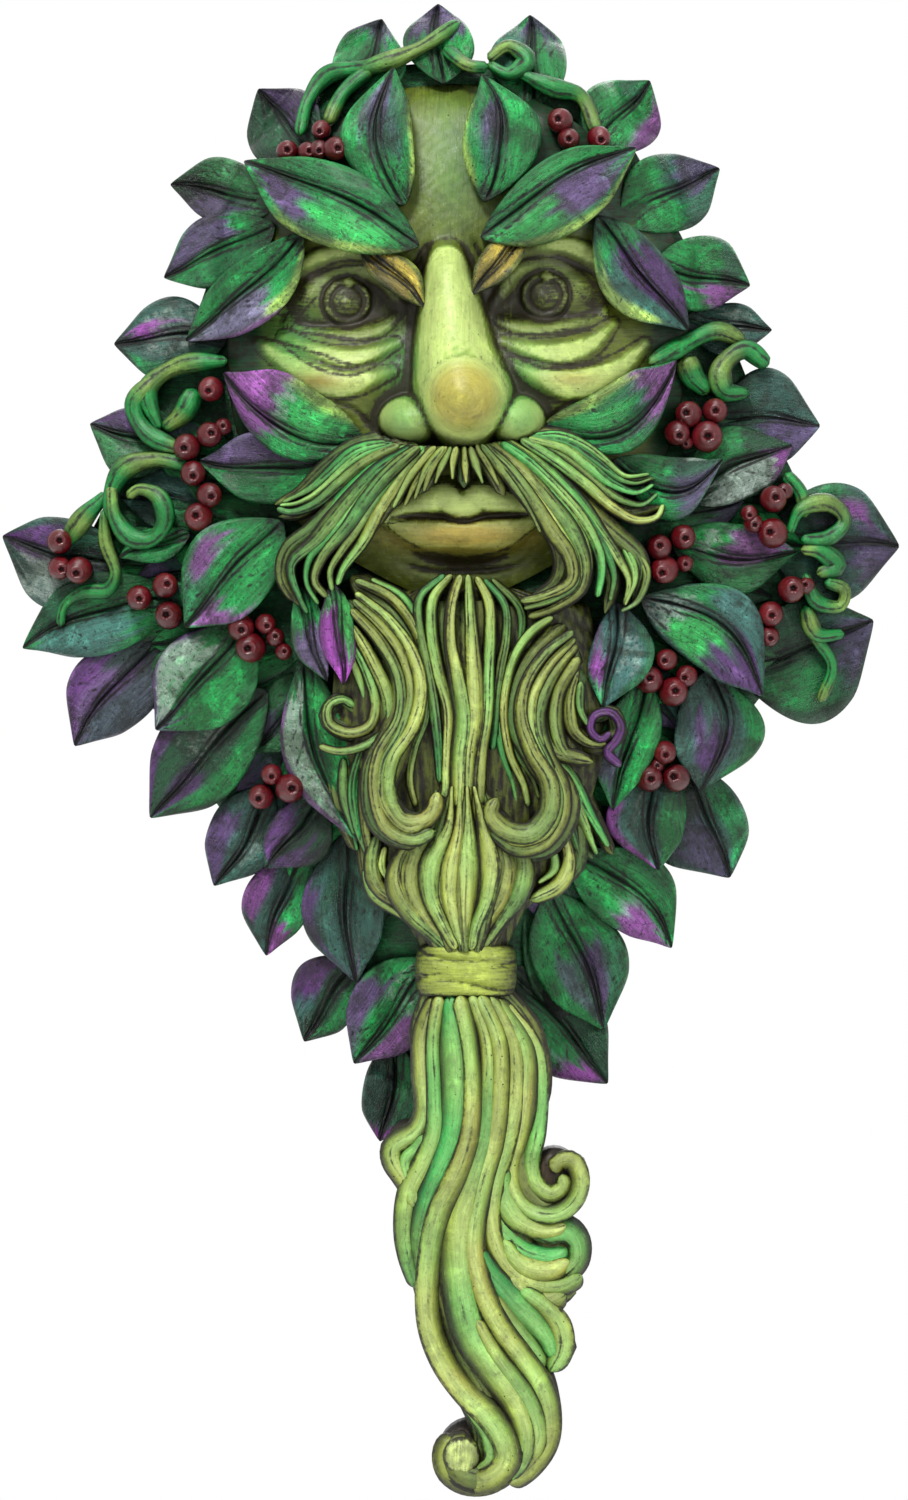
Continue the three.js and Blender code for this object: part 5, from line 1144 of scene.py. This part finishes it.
def face(shells):
    columns, rows = 236, 258
    low, high = 38, 168
    z = np.repeat(np.linspace(low, high, rows)[:, None], columns, axis=1)
    half = 57 * (1 - 0.86 * np.abs((z - 103) / 65) ** 3)
    x = 1 + half * np.linspace(-1, 1, columns)[None]
    base = face_base(x, z)
    height = base.copy()
    pale = np.zeros_like(x)
    wash = np.zeros_like(x)
    # Eyeballs, each with its ringed iris, its pupil and the raised glint
    eye_zone = np.zeros_like(x)
    for eye_x, eye_z in EYES:
        dx, dz = x - eye_x, z - eye_z
        flat = 1 - (dx / 15.5) ** 2 - (dz / 9.5) ** 2
        ball = face_base(np.array(eye_x), np.array(eye_z)) + 5.0 * np.clip(flat, -0.6, 1) - 0.4
        radius = np.hypot(dx, dz)
        ball = ball + 0.7 * step(6.6, 5.9, radius) - 1.1 * peak(radius, 6.3, 0.55)
        ball = ball - peak(radius, 4.0, 0.52) - 0.4 * step(3.9, 3.2, radius)
        heart = np.hypot(dx + 0.3, dz + 0.4)
        ball = ball + 0.7 * peak(heart, 0, 1.1)
        glint = np.hypot(dx - 0.5, dz - 4.9)
        ball = ball + step(1.5, 1.0, glint)
        near = flat > -0.6
        height = np.where(near, smooth_max(height, ball, 0.5), height)
        rings = peak(radius, 6.3, 0.7) + peak(radius, 4.0, 0.7)
        wash = np.maximum(wash, np.clip(rings, 0, 1) * near)
        wash = np.maximum(wash, 0.4 * step(6.4, 5.8, radius))
        wash = np.maximum(wash, 0.7 * peak(heart, 1.6, 0.35))
        wash = np.maximum(wash, 0.5 * step(7, 14, np.abs(dx)) * (flat > 0.02))
        pale = np.maximum(pale, 0.5 * peak(radius, 5.1, 0.6) * near)
        pale = np.maximum(pale, step(1.4, 1.0, glint))
        wash = wash * (1 - step(1.6, 1.2, glint))
        eye_zone = np.maximum(eye_zone, step(8.5, 7, radius))
    # Folds: lids, bags and lips
    for width, over, paleness, knots in FOLDS:
        gap, s = along_path(x, z, knots)
        swell = 0.35 + 0.65 * np.sin(math.pi * s)
        reach = gap / (0.62 * width * swell + 0.3)
        near = reach < 1.7
        top = base + over * swell - 0.4
        shape = top - 0.55 * width * swell * reach ** 2.2 * 0.55
        height = np.where(near, smooth_max(height, shape, 0.7), height)
        # The tops of the folds take a painted highlight, and the creases along their edges painted shade
        pale = np.maximum(pale, paleness * step(0.75, 0.1, reach) * swell)
        wash = np.maximum(wash, 0.75 * peak(reach, 1.12, 0.16) * near * (1 - eye_zone))
    socket = sum(step(1.25, 0.6, ((x - ex) / 17) ** 2 + ((z - ez) / 10.5) ** 2) for ex, ez in EYES)
    # The top of the forehead turns in under the leaves
    height = height - 9 * step(156, 170, z) ** 1.5
    # Nose and its wings
    nose_x, nose_half, nose_top = (blur(read_levels(NOSE, z, k), 4) for k in (1, 2, 3))
    side = np.abs(x - nose_x) / nose_half
    section = np.sqrt(np.clip(1 - (side / 1.08) ** 2, 0, 1))
    bridge = mix(base - 6, mix(base - 5, nose_top, step(133, 119, z)), section)
    inside = (side < 1.08) & (z > 75) & (z < 133)
    height = np.where(inside, smooth_max(height, bridge, 1.2), height)
    for centre_x, centre_z, radius_x, radius_z, top in WINGS:
        oval = ((x - centre_x) / radius_x) ** 2 + ((z - centre_z) / radius_z) ** 2
        wing = base - 2 + (top - base + 2) * np.sqrt(np.clip(1 - oval, 0, 1))
        height = smooth_max(height, np.where(oval < 1, wing, height - 6), 1.5)
        # Painted shade in the crease round each wing, and a faint painted highlight on it
        rim = peak(np.sqrt(oval), 0.98, 0.07)
        wash = np.maximum(wash, 0.4 * rim * (side > 1.0) * step(80, 86, z))
        pale = np.maximum(pale, 0.12 * step(0.8, 0.2, np.sqrt(oval)))
    ball = np.hypot((x - BALL_X) / 10.4, (z - BALL_Z) / 10.2)
    height = height + 0.35 * step(1.0, 0.9, ball)
    # Painted shade in the crease above the ball of the nose
    crease = peak(ball, 1.02, 0.05) * (z > 84)
    wash = np.maximum(wash, 0.35 * crease)
    ochre = step(1.04, 0.55, ball)
    # Wrinkles beside the bridge, and the parting of the lips
    for knots, deep in (([-14, 118, -9, 121, -6, 126], 0.8), ([12, 118, 8, 122, 5, 127], 0.8),
                        ([-15, 57.6, -9, 58.3, -4, 58, 3, 56.6, 9, 58, 15, 58.4, 21, 58.6], 2.0),
                        ([-13, 46.5, -5, 44.5, 3, 44.2, 11, 44.8, 18, 46.5], 0.8),
                        ([1, 66.5, 2.6, 63.6], 0.8), ([-34, 96.8, -27, 94.6, -18, 96.6], 0.6),
                        ([39, 97, 30, 95, 18, 97.2], 0.6), ([-30, 86.8, -24, 84.4, -20, 80], 0.7),
                        ([32, 87.4, 27, 85, 24, 81], 0.7)):
        gap, s = along_path(x, z, knots)
        line = peak(gap, 0, 0.75) * np.clip(3 * np.sin(math.pi * np.clip(s, 0.04, 0.96)), 0, 1)
        height = height - deep * line
        wash = np.maximum(wash, min(1, 0.55 + 0.25 * deep) * line)
    height = height + 0.05 * np.sin(x * 1.7 + 2 * np.sin(z * 0.6)) * np.sin(z * 1.5 + np.sin(x * 0.5))
    # Hollows are washed dark and raised forms painted pale: dark wash and dry brush that also paint the shade
    # in the hollows and the highlights on raised forms, less so beside the nose; the sockets take more
    # painted shade, and the temples are darker too
    hollow = blur(height, 3) - height
    wide = blur(height, 9) - height
    beside_nose = 1 - 0.6 * np.clip(bell(x, z, 2, 100, 17, 26) * 1.4, 0, 1)
    wash = np.maximum(wash, step(0.15, 0.7, hollow) * beside_nose)
    temple = step(30, 46, np.abs(x - 1)) * step(96, 104, z)
    wash = wash + 0.6 * step(0.4, 2.2, wide) * beside_nose + 0.2 * socket + 0.25 * temple
    # Painted shade at the top of the forehead, where it turns in under the leaves
    wash = np.clip(wash + 0.4 * step(152, 172, z), 0, 1)
    pale = pale + 0.75 * step(0.2, 1.3, -wide) + 0.5 * step(0.05, 0.35, -hollow)
    # A painted highlight in the middle of the forehead, fading towards its top
    pale = np.clip(pale + 0.35 * bell(x, z, -3, 150, 5, 10), 0, 1)
    pale = pale * (1 - 0.85 * step(150, 161, z))
    mottle = 0.5 + 0.5 * np.sin(x * 0.9 + 2 * np.sin(z * 0.37)) * np.sin(z * 0.8 + 1.5 * np.sin(x * 0.31))
    # Paleness, the painted highlight, turns the mottled olive to lime and then to pale
    paint = mix(lay(OLIVE * 0.7, OLIVE, mottle), LIME, pale[..., None] ** 1.3)
    paint = lay(paint, PALE, 0.75 * step(0.8, 1.0, pale))
    # Painted shade in the sockets of the eyes
    paint = lay(paint, OLIVE * 0.6, 0.6 * socket)
    green = bell(x, z, -40, 101, 7, 9) + bell(x, z, -13, 96, 5, 8) + 0.8 * bell(x, z, 18, 92, 6, 8)
    green = green + bell(x, z, -12, 82, 5, 5) + bell(x, z, 17, 82, 5, 5) + 0.5 * bell(x, z, 1, 147, 9, 16)
    paint = lay(paint, BRIGHT * 0.9, 0.5 * np.clip(green, 0, 1))
    stroke = 0.8 * bell(x, z, -33, 91.5, 7, 2) + 0.6 * bell(x, z, 30, 92, 7, 2)
    paint = lay(paint, OCHRE * 0.55, np.clip(stroke, 0, 1))
    paint = lay(paint, mix(OCHRE, LIME, 0.3), 0.9 * ochre)
    lips = bell(x, z, 3, 53.2, 15, 3.4)
    paint = lay(paint, OCHRE, 0.8 * np.clip(lips * 1.3, 0, 1))
    shadow = step(0.5, 1.0, bell(x, z, 3, 57, 34, 15)) * (1 - np.clip(lips + bell(x, z, 3, 60, 17, 4), 0, 1))
    paint = lay(paint, BROWN * 1.5, 0.4 * shadow)
    leafy = np.clip(step(13, 19, np.abs(x - 1)) * step(126, 133, z) + step(45, 51, np.abs(x - 1)), 0, 1)
    paint = lay(paint, FOREST, leafy)
    wash = np.maximum(wash, 0.45 * leafy)
    front = np.stack([x, -RIM - height, z], axis=-1)
    back = np.stack([x, np.full(x.shape, INNER_BACK + 0.5), z], axis=-1)
    cell = (np.arange(rows - 1)[:, None] * columns + np.arange(columns - 1)).ravel()
    top = np.stack([cell, cell + 1, cell + columns + 1, cell + columns], axis=1)
    loop = np.concatenate([np.arange(columns), np.arange(1, rows) * columns + columns - 1,
                           (rows - 1) * columns + np.arange(columns - 2, -1, -1),
                           np.arange(rows - 2, 0, -1) * columns])
    points = np.vstack([front.reshape(-1, 3), back.reshape(-1, 3)[loop]])
    total = rows * columns
    i = np.arange(len(loop))
    j = (i + 1) % len(loop)
    walls = np.stack([loop[i], total + i, total + j, loop[j]], axis=1)
    flat = np.array(geometry.tessellate_polygon([[Vector((p[0], p[2], 0)) for p in points[total:]]])) + total
    paint = np.vstack([paint.reshape(-1, 3), np.repeat(OLIVE[None], len(loop), axis=0)])
    wash = np.concatenate([wash.ravel(), np.ones(len(loop))])
    upright = step(22, 14, np.abs(points[:, 0] - 1)) * step(72, 80, points[:, 2])
    grain = np.stack([mix(points[:, 0], points[:, 2], upright), mix(points[:, 2], points[:, 0], upright),
                      np.zeros(len(points))], axis=1)
    # Strokes run in circles on the ball of the nose
    ball_x, ball_z = points[:, 0] - BALL_X, points[:, 2] - BALL_Z
    outward = np.hypot(ball_x, ball_z)
    swirl = np.stack([6 * np.arctan2(ball_x, ball_z), outward, np.full(len(points), 5.0)], axis=1)
    grain = np.where((outward < 10)[:, None], swirl, grain)
    shells.add(points, paint, wash, grain, np.vstack([top, walls]), flat)


class Graph:
    """A material's nodes, made one by one."""

    def __init__(self, name):
        self.material = bpy.data.materials.new(name)
        self.material.use_nodes = True
        self.tree = self.material.node_tree
        self.tree.nodes.clear()
        self.shader = self.node("ShaderNodeBsdfPrincipled")
        output = self.node("ShaderNodeOutputMaterial")
        self.link(self.shader.outputs[0], output.inputs[0])

    def node(self, kind, **settings):
        made = self.tree.nodes.new(kind)
        for key, value in settings.items():
            setattr(made, key, value)
        return made

    def link(self, a, b):
        self.tree.links.new(a, b)

    def put(self, value, socket):
        if isinstance(value, (int, float, tuple)):
            socket.default_value = value
        else:
            self.link(value, socket)

    def attribute(self, name, output):
        return self.node("ShaderNodeAttribute", attribute_name=name).outputs[output]

    def scaled(self, vector, scale):
        made = self.node("ShaderNodeMapping")
        self.link(vector, made.inputs["Vector"])
        made.inputs["Scale"].default_value = scale
        return made.outputs[0]

    def noise(self, vector, scale, detail=3.0, rough=0.55, warp=0.0):
        made = self.node("ShaderNodeTexNoise")
        self.link(vector, made.inputs["Vector"])
        made.inputs["Scale"].default_value = scale
        made.inputs["Detail"].default_value = detail
        made.inputs["Roughness"].default_value = rough
        made.inputs["Distortion"].default_value = warp
        return made.outputs[0]

    def dots(self, vector, scale):
        made = self.node("ShaderNodeTexVoronoi")
        self.link(vector, made.inputs["Vector"])
        made.inputs["Scale"].default_value = scale
        return made.outputs["Distance"]

    def math(self, operation, a, b=0.0, clamp=False):
        made = self.node("ShaderNodeMath", operation=operation, use_clamp=clamp)
        self.put(a, made.inputs[0])
        self.put(b, made.inputs[1])
        return made.outputs[0]

    def times(self, a, b, clamp=False):
        return self.math("MULTIPLY", a, b, clamp)

    def plus(self, a, b):
        return self.math("ADD", a, b)

    def range(self, value, low, high, to_low=0.0, to_high=1.0):
        made = self.node("ShaderNodeMapRange", interpolation_type="SMOOTHSTEP")
        self.link(value, made.inputs[0])
        for socket, number in zip(made.inputs[1:5], (low, high, to_low, to_high)):
            socket.default_value = number
        return made.outputs[0]

    def blend(self, factor, a, b, kind="MIX"):
        made = self.node("ShaderNodeMix", data_type="RGBA", blend_type=kind, clamp_factor=True)
        self.put(factor, made.inputs[0])
        self.put(a, made.inputs[6])
        self.put(b, made.inputs[7])
        return made.outputs[2]

    def tint(self, colour, factors):
        """A colour with each of its channels multiplied."""
        return self.blend(1.0, colour, tone(factors), "MULTIPLY")

    def bump(self, height, strength, distance):
        made = self.node("ShaderNodeBump")
        made.inputs["Strength"].default_value = strength
        made.inputs["Distance"].default_value = distance
        self.link(height, made.inputs["Height"])
        self.link(made.outputs[0], self.shader.inputs["Normal"])


def tone(colour, scale=1.0):
    return (*[float(c) * scale for c in colour], 1.0)


def painted(name, wash_tone, dry_tone, dry_amount, roughness, coat, streak, bump, mottle, crinkle):
    """Hand-painted resin: streaky paint, dark wash in the hollows that also paints their shade, dry-brushed
    grain, silver that also paints glints, a painted sheen, and pinholes.
    """
    g = Graph(name)
    place = g.node("ShaderNodeTexCoord").outputs["Object"]
    grain = g.attribute("grain", "Vector")
    paint = g.attribute("paint", "Color")
    wash = g.attribute("wash", "Fac")
    strokes = g.noise(g.scaled(grain, (0.16, 1.5, 1.0)), 1.0, 4.0, 0.6, 0.4)
    hairs = g.noise(g.scaled(grain, (0.35, 5.5, 1.0)), 1.0, 3.0, 0.6, 0.2)
    cloud = g.noise(place, 95.0, 4.0, 0.6)
    fine = g.noise(place, 620.0, 4.0, 0.7)
    speck = g.noise(place, 1250.0, 3.0, 0.75)
    grit = g.noise(place, 1500.0, 2.0, 0.6)
    colour = g.blend(g.range(strokes, 0.3, 0.7, 0.0, streak), paint, g.tint(paint, (0.42, 0.42, 0.42)))
    colour = g.blend(g.range(cloud, 0.5, 0.75, 0.0, 0.45), colour, g.tint(colour, (1.55, 1.6, 1.45)))
    brushed = g.times(g.range(fine, 0.5, 0.66), g.range(hairs, 0.42, 0.66), True)
    dry = g.times(brushed, g.math("SUBTRACT", 1.0, wash, True))
    colour = g.blend(g.times(dry, dry_amount), colour, tone(dry_tone))
    # Silver brushed on dry, which also paints the glints of light on the glossy paint
    silver_glint = g.plus(g.times(g.attribute("paint", "Alpha"), 0.52),
                    g.plus(g.times(fine, 0.6), g.times(strokes, 0.3)))
    glint = g.range(silver_glint, 0.66, 1.0, 0.0, 0.8)
    colour = g.blend(glint, colour, tone(SILVER_GLINT))
    murk = g.range(g.noise(place, 75.0, 5.0, 0.7, 0.8), 0.47, 0.62, 0.0, mottle)
    colour = g.blend(murk, colour, g.tint(colour, (0.3, 0.33, 0.27)))
    # Patches painted brighter, as a painted sheen
    painted_sheen = g.times(g.range(g.noise(place, 130.0, 4.0, 0.7, 0.6), 0.52, 0.68), mottle)
    colour = g.blend(painted_sheen, colour, g.tint(colour, (2.2, 2.2, 2.15)))
    pits = g.times(g.range(speck, 0.44, 0.34), mottle)
    colour = g.blend(pits, colour, tone(wash_tone, 1.3))
    # The dark wash with ragged edges, which also paints the shade in the hollows
    ragged = g.plus(wash, g.range(fine, 0.3, 0.7, -0.22, 0.22))
    ragged = g.plus(ragged, g.range(strokes, 0.3, 0.7, -0.16, 0.16))
    dark = g.range(ragged, 0.18, 0.82)
    colour = g.blend(g.times(dark, 0.94), colour, tone(wash_tone))
    stain = g.times(g.range(g.noise(place, 260.0, 3.0, 0.7), 0.58, 0.72), 0.35)
    colour = g.blend(stain, colour, tone(wash_tone, 1.6))
    holes = g.times(g.range(g.dots(place, 420.0), 0.12, 0.06), g.range(cloud, 0.52, 0.6))
    colour = g.blend(holes, colour, tone(wash_tone, 0.6))
    g.link(colour, g.shader.inputs["Base Color"])
    sheen = g.range(g.plus(cloud, g.times(fine, 0.5)), 0.55, 0.95, roughness - 0.1, roughness + 0.14)
    g.link(g.plus(sheen, g.times(dark, 0.12)), g.shader.inputs["Roughness"])
    g.shader.inputs["Specular IOR Level"].default_value = 0.26
    g.shader.inputs["Coat Weight"].default_value = coat
    g.shader.inputs["Coat Roughness"].default_value = 0.3
    relief = g.plus(g.times(strokes, 0.9), g.times(hairs, 0.5))
    for layer, share in ((fine, 0.45), (grit, 0.15), (speck, crinkle)):
        relief = g.plus(relief, g.times(layer, share))
    relief = g.math("SUBTRACT", relief, g.times(holes, 1.2))
    g.bump(relief, bump, 0.0006)
    return g.material


def back_coat():
    g = Graph("back_coat")
    place = g.node("ShaderNodeTexCoord").outputs["Object"]
    cloud = g.noise(place, 60.0, 5.0, 0.6)
    scuffs = g.noise(g.scaled(place, (60.0, 60.0, 900.0)), 1.0, 3.0, 0.6)
    colour = g.blend(g.range(cloud, 0.35, 0.65), tone(rgb(40, 46, 36)), tone(rgb(58, 62, 48)))
    colour = g.blend(g.range(scuffs, 0.55, 0.75, 0.0, 0.35), colour, tone(rgb(110, 108, 88)))
    g.link(colour, g.shader.inputs["Base Color"])
    g.link(g.range(cloud, 0.3, 0.7, 0.6, 0.8), g.shader.inputs["Roughness"])
    g.bump(cloud, 0.4, 0.0005)
    return g.material


def foliage(shells):
    bed(shells)
    for index, row in enumerate(LEAVES):
        leaf(shells, index, row)


def moustache(shells):
    for index, row in enumerate(MOUSTACHE_LOCKS):
        mass(shells, row, index, False)
    for seed, rows in enumerate((MOUSTACHE_LEFT, MOUSTACHE_RIGHT, MOUSTACHE_TOP)):
        flow(shells, rows, 10 * seed)
    for seed, row in enumerate(SHORT_HAIRS):
        hair(shells, row, 60 + seed)


def beard(shells):
    under_beard(shells)
    for index, row in enumerate(BEARD_LOCKS):
        mass(shells, row, 15 + index, False)
    core(shells, CHIN_LEVELS, 5, [33, 36, 33], 4, False, 40)
    for seed, rows in enumerate((BEARD_LEFT, BEARD_RIGHT)):
        flow(shells, rows, 30 + 10 * seed)
    for seed, row in enumerate(BEARD_LEFT_MORE + BEARD_RIGHT_MORE + CURL_RINGS + CHIN + KNOT):
        hair(shells, row, 80 + seed)


def beard_tail(shells):
    core(shells, TAIL_LEVELS, 5, [29, 21, 15], 5, True, 60)
    for index, row in enumerate(TAIL_LOCKS):
        mass(shells, row, index + 10, True)
    for index, row in enumerate(DOMES):
        dome(shells, row, index)
    for seed, row in enumerate(TAIL):
        hair(shells, row, 120 + seed, 2.4, True)


def berries(shells):
    for index, row in enumerate(BERRIES):
        berry(shells, row, index)


def tendrils(shells):
    for index, row in enumerate(TENDRILS):
        tendril(shells, row, index)


# Tones of the dark wash, which also paints the shade in the hollows, and of the dry brush, then the numbers
# that painted takes, in its order
PAINTS = {
    "leaf_paint": ((8, 14, 10), (150, 176, 156), 0.15, 0.34, 0.05, 0.8, 0.85, 0.85, 0.9),
    "skin_paint": ((40, 32, 12), (206, 214, 150), 0.3, 0.4, 0.05, 0.3, 0.32, 0.22, 0.25),
    "hair_paint": ((28, 22, 10), (216, 226, 160), 0.25, 0.42, 0.05, 0.5, 0.55, 0.3, 0.3),
    "tendril_paint": ((12, 20, 10), (186, 206, 120), 0.3, 0.4, 0.06, 0.5, 0.5, 0.4, 0.4),
    "berry_paint": ((22, 4, 6), (190, 90, 90), 0.15, 0.26, 0.35, 0.35, 0.3, 0.4, 0.3),
}
# Pieces: name, the function that fills its shells, paint
PIECES = [
    ("foliage", foliage, "leaf_paint"), ("undergrowth", undergrowth, "leaf_paint"),
    ("face", face, "skin_paint"), ("moustache", moustache, "hair_paint"), ("beard", beard, "hair_paint"),
    ("beard_tail", beard_tail, "hair_paint"), ("band", band, "hair_paint"),
    ("berries", berries, "berry_paint"), ("tendrils", tendrils, "tendril_paint"),
]


def main():
    back = back_coat()
    coats = {name: painted(name, rgb(*wash), rgb(*dry), *amounts)
             for name, (wash, dry, *amounts) in PAINTS.items()}
    pieces = []
    for name, fill, coat in PIECES:
        shells = Shells()
        fill(shells)
        pieces.append(shells.build(name, coats[coat], back))
    for piece in pieces:
        turn_out(piece)
    return pieces


def studio():
    scene = bpy.context.scene
    lens = bpy.data.cameras.new("camera")
    lens.sensor_fit = "VERTICAL"
    lens.sensor_height = 36
    # In metres: the picture shows the seen height at the plane that lies this far in front of the wall
    distance, plane, seen_height = 4.0, 0.012, 0.375
    lens.lens = lens.sensor_height * (distance - plane) / seen_height
    camera = bpy.data.objects.new("camera", lens)
    camera.location = (0.0005, -distance, 0)
    camera.rotation_euler = (math.pi / 2, 0, 0)
    scene.collection.objects.link(camera)
    scene.camera = camera

    for name, place, size, power in (
        ("key", (-0.55, -1.7, 1.9), 0.55, 92), ("fill", (1.6, -1.9, 0.5), 1.2, 24),
        ("top", (0.1, -0.3, 2.0), 0.8, 16), ("behind", (0.3, 1.9, 1.2), 1.4, 22),
    ):
        light = bpy.data.lights.new(name, "AREA")
        light.size = size
        light.energy = power
        holder = bpy.data.objects.new(name, light)
        holder.location = place
        holder.rotation_euler = Vector(place).to_track_quat("Z", "Y").to_euler()
        scene.collection.objects.link(holder)

    world = bpy.data.worlds.new("pale room")
    world.use_nodes = True
    world.node_tree.nodes["Background"].inputs[0].default_value = (1, 1, 1, 1)
    world.node_tree.nodes["Background"].inputs[1].default_value = 1.0
    scene.world = world
    scene.view_settings.view_transform = "Standard"

    floor = bpy.data.meshes.new("floor")
    radius, level, sides = 0.6, -0.25, 64
    turn = [2 * math.pi * i / sides for i in range(sides)]
    edge = [(radius * math.cos(a), radius * math.sin(a), level) for a in turn]
    floor.from_pydata(edge, [], [list(range(sides))])
    pale = Graph("floor")
    pale.shader.inputs["Base Color"].default_value = (0.75, 0.75, 0.74, 1)
    pale.shader.inputs["Roughness"].default_value = 0.8
    floor.materials.append(pale.material)
    holder = bpy.data.objects.new("floor", floor)
    scene.collection.objects.link(holder)


pieces = main()
studio()
bpy.context.view_layer.update()
for piece in pieces:
    print(piece.name, "triangles", sum(len(p.vertices) - 2 for p in piece.data.polygons))
